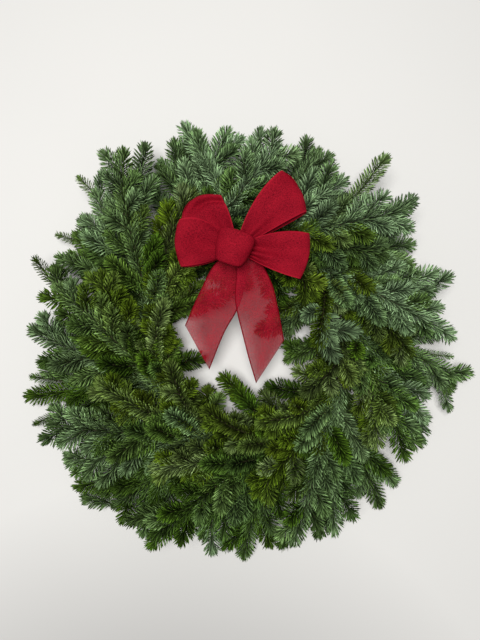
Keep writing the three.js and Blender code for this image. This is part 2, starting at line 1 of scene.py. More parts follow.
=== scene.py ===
# A fresh evergreen wreath lying face up: fir sprays on a clamp ring, and a sheer ribbon bow.
# The layout below is in millimetres, measured from the middle of the ring. Blender's pieces are in metres.
import json
import math
import bpy
import numpy as np
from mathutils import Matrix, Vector


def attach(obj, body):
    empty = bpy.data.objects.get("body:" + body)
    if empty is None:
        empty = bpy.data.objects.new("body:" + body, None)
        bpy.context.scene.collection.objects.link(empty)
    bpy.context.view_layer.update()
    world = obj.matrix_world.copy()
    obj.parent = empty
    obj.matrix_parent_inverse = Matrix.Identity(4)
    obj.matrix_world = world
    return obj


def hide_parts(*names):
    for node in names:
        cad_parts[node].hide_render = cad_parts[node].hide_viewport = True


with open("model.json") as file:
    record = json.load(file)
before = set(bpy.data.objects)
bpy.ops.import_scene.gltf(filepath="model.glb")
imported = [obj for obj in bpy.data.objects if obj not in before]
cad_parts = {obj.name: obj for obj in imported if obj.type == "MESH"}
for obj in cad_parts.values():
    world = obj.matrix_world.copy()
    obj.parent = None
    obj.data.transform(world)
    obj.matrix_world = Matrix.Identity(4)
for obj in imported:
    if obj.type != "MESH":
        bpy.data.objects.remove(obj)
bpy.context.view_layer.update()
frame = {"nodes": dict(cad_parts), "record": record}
slotOf = {part["node"]: part["material_slot"] for part in frame["record"]["subparts"]}


def ringMiddle():
    # The rails' lowest flats lie evenly round the ring's middle
    onFloor = 1e-4
    flats = [v.co for v in frame["nodes"]["clamp_ring"].data.vertices if v.co.z < onFloor]
    return [(min(p[i] for p in flats) + max(p[i] for p in flats)) / 2 for i in range(2)]


# Layout to Blender: the ring's middle in the frame, then millimetres to metres
middle = np.array([*ringMiddle(), 0.0])
mm = 0.001


def toMetres(point):
    return np.asarray(point) * mm + middle


# Camera, looking straight down as the photograph does
view = {
    "height": 730,
    "offset": (-14, 29),
    "lens": 28.09,
    "sensor": 36,
    "nearest": 0.01,
}


def makeCamera():
    data = bpy.data.cameras.new("camera")
    data.sensor_width = view["sensor"]
    data.lens = view["lens"]
    data.clip_start = view["nearest"]
    camera = bpy.data.objects.new("camera", data)
    bpy.context.collection.objects.link(camera)
    camera.location = toMetres([*view["offset"], view["height"]])
    bpy.context.scene.camera = camera


makeCamera()
print("camera ready")

# Directions in degrees, and numbers that look random but are the same on each run
scatter = (127.1, 311.7, 43758.5453)


def polar(angle, radius, z=0.0):
    return np.array([radius * math.cos(math.radians(angle)), radius * math.sin(math.radians(angle)), z])


def outward(angle):
    return polar(angle, 1)


def clockwise(angle):
    return polar(angle - 90, 1)


def noise(i, j):
    value = math.sin(i * scatter[0] + j * scatter[1]) * scatter[2]
    return value - math.floor(value)


def spread(i, j, amount):
    return (noise(i, j) * 2 - 1) * amount


def unit(vector):
    return vector / np.linalg.norm(vector)


def crossways(along):
    # Level to the left of a heading, and up from both
    upright = 1e-6
    left = np.array([-along[1], along[0], 0.0])
    left = unit(left) if np.linalg.norm(left) > upright else np.array([1.0, 0.0, 0.0])
    return left, np.cross(along, left)


class Line:
    # A cubic curve with points and headings by distance along it
    divisions = 40
    nudge = 1e-4

    def __init__(self, a, b, c, d):
        self.corners = np.array([a, b, c, d], float)
        places = np.array([self.at(i / self.divisions) for i in range(self.divisions + 1)])
        steps = np.linalg.norm(np.diff(places, axis=0), axis=1)
        self.reached = np.concatenate([[0], np.cumsum(steps)])
        self.length = self.reached[-1]

    def at(self, t):
        a, b, c, d = self.corners
        s = 1 - t
        return s ** 3 * a + 3 * s * s * t * b + 3 * s * t * t * c + t ** 3 * d

    def shareOf(self, u):
        wanted = u * self.length
        passed = int(np.searchsorted(self.reached, wanted, side="right"))
        i = min(max(passed - 1, 0), self.divisions - 1)
        step = self.reached[i + 1] - self.reached[i]
        return (i + (wanted - self.reached[i]) / step) / self.divisions

    def pointAt(self, u):
        return self.at(self.shareOf(u))

    def headingAt(self, u):
        t = self.shareOf(u)
        return unit(self.at(min(t + self.nudge, 1)) - self.at(max(t - self.nudge, 0)))

    def samples(self, count):
        return np.array([self.pointAt(i / count) for i in range(count + 1)])


# The clamps of the ring and the slots of the stems in them
ring = {
    "clamps": 9,
    "firstClamp": 98,
    "slots": [154.2, 149.2, 144.2, 139.2, 134.2, 129.2],
    "stemHeight": 6.8,
    "tieRadius": 124.6,
}
ring["pitch"] = 360 / ring["clamps"]

# Each kind of random draw has its own number, so a change to one leaves the others as they are
draws = {
    "reach": 1,
    "turn": 2,
    "height": 3,
    "lean": 4,
    "twigLength": 20,
    "twigAngle": 30,
    "mainTones": 62,
    "twigTones": 70,
    "oppositeTones": 90,
    "oppositeLength": 110,
    "oppositeTilt": 130,
    "oppositeAngle": 150,
    "addedTones": 170,
    "shade": 200,
    "freshTwig": 300,
    "leftWarmth": 400,
}

# How far the twig tips of each bunch reach from the middle of the ring
reaches = {
    "outer_low": [290, 293, 312, 301, 304, 330, 318, 303, 317],
    "outer_high": [300, 276, 278, 282, 271, 296, 294, 308, 289],
    "outer_top": [270, 263, 254, 266, 284, 283, 282, 298, 272],
    "inner_crest": [103, 88, 100, 108, 106, 112, 126, 134, 130],
    "inner": [68, 50, 56, 67, 64, 66, 84, 68, 76],
}

# One spray of each kind in every bunch: how far round the ring its tip lies, its height and heading
kinds = [
    {"name": "outer_low", "turn": 30, "height": 20, "lean": 22, "slope": 0.02,
     "leave": 52, "arrive": 78, "twig": 66},
    {"name": "outer_high", "turn": 43, "height": 46, "lean": 26, "slope": 0.08,
     "leave": 60, "arrive": 80, "twig": 66},
    {"name": "outer_top", "turn": 57, "height": 70, "lean": 34, "slope": 0.12,
     "leave": 74, "arrive": 84, "twig": 62},
    {"name": "crest", "turn": 64, "height": 84, "lean": 52, "slope": 0.16,
     "leave": 80, "arrive": 66, "twig": 54, "reach": 210},
    {"name": "inner_crest", "turn": 66, "height": 66, "lean": 90, "slope": 0.1,
     "leave": 70, "arrive": 56, "twig": 46},
    {"name": "inner", "turn": 50, "height": 32, "lean": 118, "slope": 0,
     "leave": 44, "arrive": 52, "twig": 38},
]

# How far the main twigs stray from what their kind says, with a stated reach or without one
mainSpread = {
    "reach": 10,
    "turn": 2,
    "looseTurn": 5,
    "height": 4,
    "lean": 12,
}

# Side twigs: their angle, length and places, and how near other twigs they may come
twigRule = {
    "angle": 47,
    "angleSpread": 6,
    "straighten": 16,  # how far a twig turns back along its main twig
    "pull": 0.3,
    "bend": 0.45,
    "firstSize": 1.15,
    "taper": 0.6,
    "lengthSpread": 0.14,
    "tilts": [8, 20, -6, 32, -18, 44, 58],  # tried in turn, then a smaller twig
    "sizes": [1, 0.8, 0.62],
    "lifts": [0, 5, -5, 10, -9, 15],  # tried in turn for a main twig
    "bandPitch": 24,
    "bareLength": 46,
    "bareShare": 0.3,
    "tipMargin": 9,
    "samples": 14,
    "firstSample": 2,  # the samples before it lie in the stem
    "mainClearance": 14,
    "twigClearance": 9,
    "leastClearance": 5.5,
    "lowest": 6.5,
}

# The sprays are pressed down under the bow
press = {
    "shift": (8, 22),
    "depth": 0.3,
    "width": 95,
}

# The bow's sizes: waist, the fan of each loop, the loop round the middle, and the edges of the tails. Full,
# pleats, tilt, shift and lip are the soft ribbon's own: how it widens, folds, tips, leans and turns in.
bow = {
    "waist": np.array([-19, 119.6, 96.5]),
    "waistSize": [15, 12, 9],
    "waistWidth": 3,
    "firstTurn": 0.03,
    "turns": 0.94,
    "riseCurve": 1.4,
    "loops": [
        {"heading": 43, "reach": 98, "fold": 57, "rise": 22, "puff": 26, "skew": 6, "bulge": 7,
         "full": (0.0, 1.4), "pleats": (1.6, 0.35),
         "tilt": 2, "shift": 1.2, "lip": 0},
        {"heading": -7.5, "reach": 86, "fold": 58, "rise": 14, "puff": 24, "skew": 2, "bulge": 5,
         "full": (0.6, 1.4), "pleats": (1.7, 0.9),
         "tilt": -2, "shift": -1.6, "lip": 0},
        {"heading": 132, "reach": 65, "fold": 56, "rise": 16, "puff": 26, "skew": 6, "bulge": 14,
         "full": (0.6, 0.6), "pleats": (1.8, 0.5),
         "tilt": -5, "shift": 0, "lip": 8},
        {"heading": 177, "reach": 69, "fold": 56, "rise": 18, "puff": 24, "skew": -2, "bulge": 6,
         "full": (2.2, 0.8), "pleats": (2.0, 0.6),
         "tilt": -5, "shift": 0, "lip": 0},
    ],
    "centre": {"width": 44, "height": 25, "length": 42, "flare": 0.13, "turn": -12, "offset": [1, -1],
               "middle": 115.9},
    "tails": [
        [[[-24, 118, 87], [-46, 102, 86], [-68, 63, 76], [-88, 22, 58]],
         [[-16, 117, 87], [-9, 92, 84], [-17, 47, 76], [-35, 12, 64], [-56, -39, 44]]],
        [[[-22, 118, 89], [-10, 91, 90], [-15, 47, 83], [-6, -8, 66], [8, -58, 44]],
         [[-14, 118, 89], [6, 111, 88], [27, 77, 84], [35, 48, 78], [45, 2, 62]]],
    ],
}

# The tie wire's path from the ring's inner rail up and over the waist
tieWire = {
    "across": 2.5,
    "shift": 1,
    "beside": 1.7,
    "above": 0.95,
    "below": 3,
    "foot": 20,
    "bend": 40,
    "upright": 60,
}


def loopTurn(u):
    return 2 * math.pi * (bow["firstTurn"] + bow["turns"] * u)


def loopPoint(loop, u, v):
    turn = loopTurn(u)
    share = (1 - math.cos(turn)) / 2
    half = (bow["waistWidth"] + (loop["fold"] - bow["waistWidth"]) * share) / 2
    lift = loop["puff"] / 2 * math.sin(turn) * math.sin(turn / 2) ** 2
    reach = loop["reach"] + loop["skew"] * v + loop["bulge"] * (1 - v * v)
    point = bow["waist"] + outward(loop["heading"]) * reach * share
    point = point + outward(loop["heading"] + 90) * half * v
    return point + np.array([0, 0, loop["rise"] * share ** bow["riseCurve"] + lift])


def centreLoopPoint(u, v):
    size = bow["centre"]
    turn = 2 * math.pi * u
    start = bow["waist"] + np.array([*size["offset"], 0.0])
    start[2] = size["middle"]
    point = start + outward(size["turn"]) * size["width"] / 2 * (1 + size["flare"] * v) * math.cos(turn)
    point = point + outward(size["turn"] + 90) * size["length"] / 2 * v
    return point + np.array([0, 0, size["height"] / 2 * math.sin(turn)])


def throughPoints(points, u):
    # A smooth curve through a few points, with knots set by the roots of their spacings
    points = np.asarray(points, float)
    last = len(points) - 1
    u = min(max(u, 0), 1)
    i = min(int(math.floor(last * u)), last - 1)
    w = last * u - i
    b, c = points[i], points[i + 1]
    a = points[i - 1] if i > 0 else 2 * points[0] - points[1]
    d = points[i + 2] if i + 2 <= last else 2 * points[last] - points[last - 1]
    before, here, after = (math.sqrt(np.linalg.norm(q - p)) for p, q in ((a, b), (b, c), (c, d)))
    start = ((b - a) / before - (c - a) / (before + here) + (c - b) / here) * here
    end = ((c - b) / here - (d - b) / (here + after) + (d - c) / after) * here
    return b + start * w + (3 * (c - b) - 2 * start - end) * w * w + (2 * (b - c) + start + end) * w ** 3


def tailPoint(edges, u, v):
    return throughPoints(edges[0], u) * (1 - v) / 2 + throughPoints(edges[1], u) * (1 + v) / 2


def tieWirePath():
    foot = polar(ring["firstClamp"], ring["tieRadius"]) + clockwise(ring["firstClamp"]) * tieWire["across"]
    x, y, z = bow["waist"] + np.array([tieWire["shift"], 0, 0])
    side = bow["waistSize"][1] / 2 + tieWire["beside"]
    top = z + bow["waistSize"][2] / 2 + tieWire["above"]
    low, high = np.array([0, 0, tieWire["foot"]]), np.array([0, 0, tieWire["bend"]])
    bend = (foot + high + np.array([x, y + side, tieWire["bend"]])) / 2
    return [foot + low, bend, np.array([x, y + side, tieWire["upright"]]), np.array([x, y + side, top]),
            np.array([x, y - side, top]), np.array([x, y - side, z - tieWire["below"]])]


def bowPoints():
    # Points on the bow and its wire that the sprays keep clear of
    ribCount, across, along = 12, 4, 8
    ribs = []
    sheets = [lambda u, v, loop=loop: loopPoint(loop, u, v) for loop in bow["loops"]]
    sheets += [lambda u, v, edges=edges: tailPoint(edges, u, v) for edges in bow["tails"]]
    sheets.append(centreLoopPoint)
    for sheet in sheets:
        ribs += [(sheet(i / ribCount, -1), sheet(i / ribCount, 1)) for i in range(ribCount + 1)]
    points = [a + (b - a) * i / across for a, b in ribs for i in range(across + 1)]
    wire = tieWirePath()
    for a, b in zip(wire[:-1], wire[1:]):
        points += [a + (b - a) * i / along for i in range(along + 1)]
    return points


def pressed(point):
    right, up = press["shift"]
    away = math.hypot(point[0] - bow["waist"][0] - right, point[1] - bow["waist"][1] - up)
    return 1 - press["depth"] * math.exp(-((away / press["width"]) ** 2))


def mainLine(bunch, kind, lift):
    number = bunch * len(kinds) + kind
    k = kinds[kind]
    clampAngle = ring["firstClamp"] - ring["pitch"] * bunch
    stated = reaches.get(k["name"])
    reach = stated[bunch] if stated else k["reach"] + spread(number, draws["reach"], mainSpread["reach"])
    turnSpread = mainSpread["turn"] if stated else mainSpread["looseTurn"]
    tipAngle = clampAngle - (k["turn"] + spread(number, draws["turn"], turnSpread))
    height = k["height"] + spread(number, draws["height"], mainSpread["height"]) + lift
    tip = polar(tipAngle, reach, height)
    tip[2] *= pressed(tip)
    lean = math.radians(k["lean"] + spread(number, draws["lean"], mainSpread["lean"]))
    heading = outward(tipAngle) * math.cos(lean) + clockwise(tipAngle) * math.sin(lean)
    heading[2] = k["slope"]
    start = polar(clampAngle, ring["slots"][kind], ring["stemHeight"])
    return Line(start, start + clockwise(clampAngle) * k["leave"], tip - heading * k["arrive"], tip)


def twigLine(root, along, sideways, tilt, length, angle):
    left, up = crossways(along)
    away = left * sideways * math.cos(math.radians(tilt)) + up * math.sin(math.radians(tilt))
    first = math.radians(angle)
    late = math.radians(angle - twigRule["straighten"])
    out = along * math.cos(first) + away * math.sin(first)
    bend = root + out * length * twigRule["bend"]
    end = bend + (along * math.cos(late) + away * math.sin(late)) * length * (1 - twigRule["bend"])
    return Line(root, root + out * length * twigRule["pull"], bend, end)


def sizeAt(band, bands):
    # Twigs grow shorter towards the tip of their spray
    return twigRule["firstSize"] - twigRule["taper"] * band / (len(bands) - 1)


def twigAngle(number, draw):
    return twigRule["angle"] + spread(number, draw, twigRule["angleSpread"])


class Placed:
    # Points already taken, each with the number of the spray that owns it
    room = 40000

    def __init__(self, points):
        self.points = np.zeros((self.room, 3))
        self.owners = np.zeros(self.room, int)
        self.count = 0
        self.add(points, -1)

    def add(self, points, owner):
        end = self.count + len(points)
        self.points[self.count:end] = points
        self.owners[self.count:end] = owner
        self.count = end

    def clearance(self, points, owner):
        others = self.points[:self.count][self.owners[:self.count] != owner]
        gaps = others[:, None, :] - points[None, :, :]
        return math.sqrt((gaps ** 2).sum(2).min())


def firstClear(tries, build, placed, owner, wanted):
    best = None
    for attempt in tries:
        line = build(attempt)
        points = line.samples(twigRule["samples"])[twigRule["firstSample"]:]
        clear = 0 if points[:, 2].min() < twigRule["lowest"] else placed.clearance(points, owner)
        if best is None or clear > best["clear"]:
            best = {"line": line, "points": points, "clear": clear}
        if clear >= wanted:
            break
    return best


def bandPlaces(length):
    # Where side twigs may leave a main twig, after its bare start
    bare = min(twigRule["bareLength"], length * twigRule["bareShare"])
    count = round((length - bare) / twigRule["bandPitch"])
    return [bare + (length - bare - twigRule["tipMargin"]) * i / (count - 1) for i in range(count)]


def layOutMain(bunch, kind, placed):
    number = bunch * len(kinds) + kind
    found = firstClear(twigRule["lifts"], lambda lift: mainLine(bunch, kind, lift),
                       placed, number, twigRule["mainClearance"])
    placed.add(found["points"], number)
    return {"number": number, "kind": kinds[kind], "name": "bunch_%d_%s" % (bunch + 1, kinds[kind]["name"]),
            "main": found["line"], "bands": bandPlaces(found["line"].length), "twigs": []}


def layOutTwigs(spray, placed):
    tries = [(tilt, size) for tilt in twigRule["tilts"] for size in twigRule["sizes"]]
    number, bands = spray["number"], spray["bands"]
    for band in range(len(bands) - 1):
        share = bands[band] / spray["main"].length
        root, along = spray["main"].pointAt(share), spray["main"].headingAt(share)
        sideways = 1 if (number + band) % 2 else -1
        stray = 1 + spread(number, draws["twigLength"] + band, twigRule["lengthSpread"])
        length = spray["kind"]["twig"] * sizeAt(band, bands) * stray
        angle = twigAngle(number, draws["twigAngle"] + band)
        found = firstClear(
            tries, lambda t: twigLine(root, along, sideways, t[0], length * t[1], angle),
            placed, number, twigRule["twigClearance"])
        if found["clear"] >= twigRule["leastClearance"]:
            placed.add(found["points"], number)
            spray["twigs"].append({"band": band, "line": found["line"]})


def layOutSprays():
    # The main twigs first, then the side twigs that fit between them
    placed = Placed(bowPoints())
    sprays = [layOutMain(bunch, kind, placed)
              for bunch in range(ring["clamps"]) for kind in range(len(kinds))]
    for spray in sprays:
        layOutTwigs(spray, placed)
    return sprays


sprays = layOutSprays()
print("sprays laid out:", len(sprays), "twigs:", sum(len(s["twigs"]) for s in sprays))


class Nodes:
    # Adds nodes to one node tree, and links or sets their sockets
    def __init__(self, tree):
        self.tree = tree

    def add(self, kind, **settings):
        node = self.tree.nodes.new(kind)
        for name, value in settings.items():
            setattr(node, name, value)
        return node

    def put(self, value, socket):
        if isinstance(value, bpy.types.NodeSocket):
            self.tree.links.new(value, socket)
        else:
            socket.default_value = value

    def run(self, kind, inputs, **settings):
        node = self.add(kind, **settings)
        for name, value in inputs.items():
            self.put(value, node.inputs[name])
        return node.outputs[0]

    def calc(self, operation, *values, clamp=False):
        node = self.add("ShaderNodeMath", operation=operation, use_clamp=clamp)
        for value, socket in zip(values, node.inputs):
            self.put(value, socket)
        return node.outputs[0]

    def times(self, first, second, clamp=False):
        return self.calc("MULTIPLY", first, second, clamp=clamp)

    def scaled(self, value, factor, shift, clamp=False):
        return self.calc("MULTIPLY_ADD", value, factor, shift, clamp=clamp)


class Finish(Nodes):
    # A new material, with the nodes that its finishes share
    def __init__(self, name):
        self.material = bpy.data.materials.new(name)
        self.material.use_nodes = True
        super().__init__(self.material.node_tree)
        self.shader = self.tree.nodes["Principled BSDF"]

    def give(self, name, value):
        self.put(value, self.shader.inputs[name])

    def place(self):
        return self.add("ShaderNodeTexCoord").outputs["Object"]

    def attribute(self, name):
        return self.add("ShaderNodeAttribute", attribute_name=name).outputs["Fac"]

    def noise(self, vector, scale, detail=3.0, roughness=0.5):
        return self.run("ShaderNodeTexNoise", {"Vector": vector, "Scale": scale, "Detail": detail,
                                               "Roughness": roughness})

    def mix(self, share, first, second, blend="MIX"):
        node = self.add("ShaderNodeMix", data_type="RGBA", blend_type=blend)
        sockets = {s.identifier: s for s in node.inputs}
        for name, value in (("Factor_Float", share), ("A_Color", first), ("B_Color", second)):
            self.put(value, sockets[name])
        return next(s for s in node.outputs if s.identifier == "Result_Color")

    def bump(self, height, distance, strength=1.0):
        self.give("Normal", self.run("ShaderNodeBump", {"Height": height, "Distance": distance,
                                                        "Strength": strength}))


# Needle colours: the waxy bloom of young needles over the green of each kind of spray
# Dark is painted shade at the needles' roots, deep in the brush
needleFinish = {
    "fir_deep_green": {"dark": (0.010, 0.026, 0.002, 1), "green": (0.068, 0.145, 0.012, 1),
                       "bloom": (0.16, 0.255, 0.115, 1)},
    "fir_blue_green": {"dark": (0.011, 0.028, 0.004, 1), "green": (0.08, 0.16, 0.03, 1),
                       "bloom": (0.20, 0.305, 0.165, 1)},
    "fir_olive_green": {"dark": (0.013, 0.026, 0.001, 1), "green": (0.09, 0.155, 0.009, 1),
                        "bloom": (0.20, 0.28, 0.12, 1)},
}

# What the three have in common: fresh and blue twigs, where wax lies, and how light falls off to the root
needleLook = {
    "fresh": (0.115, 0.175, 0.010, 1),
    "blue": (0.21, 0.33, 0.165, 1),
    "mottleScale": 60,
    "mottleWax": 0.5,
    "darkWax": 0.35,
    "rootGreen": 0.1,
    "rootLight": 0.12,
    "leastLight": 0.2,
    "tintLight": 3.3,
    "tintPower": 1.9,
    "roughness": 0.5,
    "tintRoughness": 0.2,
    "specular": 0.1,
}


def needleMaterial(slot):
    tones, look = needleFinish[slot], needleLook
    m = Finish("needles_" + slot)
    along, tint, shade, bloom, warm = [m.attribute(n) for n in ("along", "tint", "shade", "bloom", "warm")]
    mottle = m.noise(m.place(), look["mottleScale"])
    # Painted shade: the colour runs from dark at the root to green, and the light falls off towards the root
    # too
    body = m.mix(m.scaled(along, 1 - look["rootGreen"], look["rootGreen"], clamp=True),
                 tones["dark"], tones["green"])
    # Tint holds painted light: needles at the twig's sides are lit and those on top and below it are shaded,
    # with some chance. It sets their wax, light and roughness.
    waxy = m.times(bloom, m.calc("ADD", tint, look["darkWax"]), clamp=True)
    waxy = m.times(waxy, m.calc("ADD", mottle, look["mottleWax"]), clamp=True)
    colour = m.mix(waxy, body, tones["bloom"])
    colour = m.mix(warm, colour, look["fresh"])
    colour = m.mix(m.times(warm, -1.0, clamp=True), colour, look["blue"])
    light = m.scaled(m.calc("POWER", tint, look["tintPower"]), look["tintLight"], look["leastLight"])
    light = m.times(light, shade)
    light = m.times(light, m.scaled(along, 1 - look["rootLight"], look["rootLight"]))
    grey = m.run("ShaderNodeCombineColor", {"Red": light, "Green": light, "Blue": light})
    m.give("Base Color", m.mix(1.0, colour, grey, "MULTIPLY"))
    m.give("Roughness", m.scaled(tint, look["tintRoughness"], look["roughness"]))
    m.give("Specular IOR Level", look["specular"])
    return m.material


# Bark with a fine grain
barkLook = {
    "dark": (0.016, 0.018, 0.004, 1),
    "light": (0.05, 0.042, 0.012, 1),
    "grainScale": 900,
    "grainDetail": 4,
    "bump": 0.0004,
    "bumpStrength": 0.6,
    "roughness": 0.75,
}


def barkMaterial():
    m = Finish("twig_bark")
    grain = m.noise(m.place(), barkLook["grainScale"], barkLook["grainDetail"])
    m.give("Base Color", m.mix(grain, barkLook["dark"], barkLook["light"]))
    m.bump(grain, barkLook["bump"], barkLook["bumpStrength"])
    m.give("Roughness", barkLook["roughness"])
    return m.material


# Painted wire, worn in spots
wireLook = {
    "paint": (0.012, 0.035, 0.018, 1),
    "worn": (0.045, 0.06, 0.045, 1),
    "wearNoise": (260, 5, 0.7),
    "wearFrom": 0.56,
    "wearTo": 0.66,
    "roughness": 0.25,
    "wornRoughness": 0.3,
    "bump": 0.0001,
}


def wireMaterial():
    m = Finish("painted_wire")
    worn = m.noise(m.place(), *wireLook["wearNoise"])
    ramp = m.add("ShaderNodeValToRGB")
    ramp.color_ramp.elements[0].position = wireLook["wearFrom"]
    ramp.color_ramp.elements[1].position = wireLook["wearTo"]
    m.put(worn, ramp.inputs[0])
    m.give("Base Color", m.mix(ramp.outputs[0], wireLook["paint"], wireLook["worn"]))
    m.give("Roughness", m.scaled(worn, wireLook["wornRoughness"], wireLook["roughness"]))
    m.bump(worn, wireLook["bump"])
    return m.material


# Sheer ribbon: a loose plain weave seen through its gaps, with a firm wired selvage
ribbonFinish = {
    "threads": 0.9,
    "selvage": 1.8,
    "width": 63.5,
    "dark": (0.14, 0.001, 0.008, 1),
    "layered": (0.37, 0.007, 0.022, 1),
    # The single layer's red is lighter than the layered one: painted light that shines through the thin cloth
    "single": (0.54, 0.013, 0.038, 1),
    # The loops' lighter edge is a painted highlight, where the wired edge catches the light; the tails'
    # darker edge is their doubled cloth
    "layeredEdgeHighlight": (0.38, 0.008, 0.024, 1),
    "singleEdge": (0.20, 0.001, 0.009, 1),
    "layeredCover": 0.96,
    "singleCover": 0.55,
    "slubStretches": ((0.45, 2.0, 1), (2.0, 0.45, 1)),
    "slubContrast": 5.0,
    "slubLevel": -2.4,
    "broadScale": 0.045,
    "broadContrast": 0.9,
    "weaveCover": 0.10,
    "slubCover": 0.16,
    "selvageCover": 0.97,
    "bump": 0.00015,
    "bumpStrength": 0.5,
    "roughness": 0.7,
    "specular": 0.06,
}


def ribbonMaterial(name, cover, red, edge):
    # The piece's UV map holds millimetres across and along the ribbon
    look = ribbonFinish
    m = Finish(name)
    uv = m.add("ShaderNodeUVMap").outputs[0]
    split = m.add("ShaderNodeSeparateXYZ")
    m.put(uv, split.inputs[0])
    turns = 2 * math.pi / look["threads"]
    weave = m.calc("MAXIMUM", *[m.calc("SINE", m.times(split.outputs[i], turns)) for i in range(2)])
    slubs = [m.noise(m.run("ShaderNodeMapping", {"Vector": uv, "Scale": stretch}), 1.0, 2)
             for stretch in look["slubStretches"]]
    slub = m.times(m.calc("ADD", *slubs), 0.5)
    uneven = m.scaled(m.noise(uv, look["broadScale"], 1), look["broadContrast"], look["slubLevel"])
    streak = m.scaled(slub, look["slubContrast"], uneven, clamp=True)
    colour = m.mix(streak, look["dark"], red)
    rim = look["width"] / 2 - look["selvage"]
    selvage = m.calc("GREATER_THAN", m.calc("ABSOLUTE", split.outputs[0]), rim)
    m.give("Base Color", m.mix(selvage, colour, edge))
    cloth = m.scaled(weave, look["weaveCover"], cover - look["weaveCover"] / 2)
    cloth = m.scaled(streak, look["slubCover"], m.calc("SUBTRACT", cloth, look["slubCover"] / 2))
    m.give("Alpha", m.calc("MAXIMUM", cloth, m.times(selvage, look["selvageCover"]), clamp=True))
    m.bump(m.calc("ADD", weave, streak), look["bump"], look["bumpStrength"])
    m.give("Roughness", look["roughness"])
    m.give("Specular IOR Level", look["specular"])
    return m.material


# Pale floor, with a painted shadow that darkens it low in the picture
floorLook = {
    "low": (0.765, 0.768, 0.765, 1),
    "high": (0.795, 0.797, 0.793, 1),
    "mottle": (3, 2),
    "shade": (0.42, 0.42, 0.42, 1),
    "paintedShadowPlace": (-0.12, -0.75, 0),
    "paintedShadowReach": 0.55,
    "paintedShadowDepth": 1.35,
    "roughness": 0.8,
}


def floorMaterial():
    m = Finish("pale_floor")
    place = m.place()
    pale = m.mix(m.noise(place, *floorLook["mottle"]), floorLook["low"], floorLook["high"])
    away = m.add("ShaderNodeVectorMath", operation="DISTANCE")
    m.put(place, away.inputs[0])
    m.put(floorLook["paintedShadowPlace"], away.inputs[1])
    # Painted shadow: the floor colour darkens towards the shadow's place and fades out at its reach
    shade = m.scaled(away.outputs["Value"], -1 / floorLook["paintedShadowReach"], 1.0, clamp=True)
    m.give("Base Color", m.mix(m.times(shade, floorLook["paintedShadowDepth"]), pale, floorLook["shade"]))
    m.give("Roughness", floorLook["roughness"])
    return m.material


bark = barkMaterial()
wire = wireMaterial()
needles = {slot: needleMaterial(slot) for slot in needleFinish}
print("materials ready")

# One fir needle, standing on its open root at the origin and bent towards -X. Each ring of three corners has
# its height as a share of the length, and half its width.
needle = {
    "length": 17.8,
    "rings": [(0.0, 0.55), (0.8, 1.0)],
    "ridge": 0.5,
    "bend": 2.6,
    "curl": 1.7,
}


def makeNeedle():
    corners, along, faces = [], [], []
    for height, half in needle["rings"]:
        back = -needle["bend"] * height ** needle["curl"]
        up = height * needle["length"]
        corners += [(back, -half, up), (back, half, up), (back + needle["ridge"], 0, up)]
        along += [height] * 3
    corners.append((-needle["bend"], 0, needle["length"]))
    along.append(1.0)
    for first in range(0, 3 * (len(needle["rings"]) - 1), 3):
        for i, j in ((0, 1), (1, 2), (2, 0)):
            faces += [(first + j, first + i, first + 3 + i), (first + j, first + 3 + i, first + 3 + j)]
    last = len(corners) - 4
    faces += [(last + j, last + i, last + 3) for i, j in ((0, 1), (1, 2), (2, 0))]
    mesh = bpy.data.meshes.new("needle_shape")
    mesh.from_pydata([tuple(c * mm for c in corner) for corner in corners], [], faces)
    mesh.attributes.new("along", "FLOAT", "POINT").data.foreach_set("value", along)
    return bpy.data.objects.new("needle_shape", mesh)


# Foliage: how the needles stand on a twig, and the finer twigs between those of the layout
foliage = {
    "needlePitch": 0.425,
    "fan": 215,  # degrees round the twig
    "fanJitter": 0.12,  # radians
    "sideBias": 0.62,  # below 1 puts more needles at the sides
    "faceUp": 0.85,  # 1 would turn every needle's face straight up
    "lean": 63,  # degrees from the twig's heading
    "topLean": 0.62,  # of the lean, for the needles on top
    "leanJitter": 3,
    "lengthJitter": 0.1,
    "smallest": 0.3,
    "sideShine": 0.5,
    "shineAt": 0.64,
    "shineFall": 2.6,
    "leastShine": 0.3,
    "tipLength": 8,
    "tipLean": 30,
    "tipLoose": 10,
    "tipSize": 0.82,
    "tipCrowd": 4,
    "crowdBelow": 0.6,
    "cutBack": 15,  # the needles reach on to the layout's tip
    "shortest": 14,
    "bareRoot": 8,
    "twigBareRoot": 2,
    "rootFade": 12,
    "rootFadeStart": 0.35,
    "rootSize": 0.7,
    "stemEnd": 24,
    "lineStep": 7,
    "leastSteps": 3,
    "mainRadius": (2.0, 0.9),
    "twigRadius": (1.0, 0.7),
    "bud": [(0.0, 1.0), (1.2, 1.5), (2.6, 1.45), (3.8, 0.6)],  # places past the tip, and swell
    "barkSides": 5,
    "oppositeShift": 7,
    "oppositeSize": 0.86,
    "oppositeSpread": 0.12,
    "oppositeTilt": (-8, 30),
    "oppositeSamples": 4,
    "lowest": 5.0,
    "floorGap": 0.3,
}

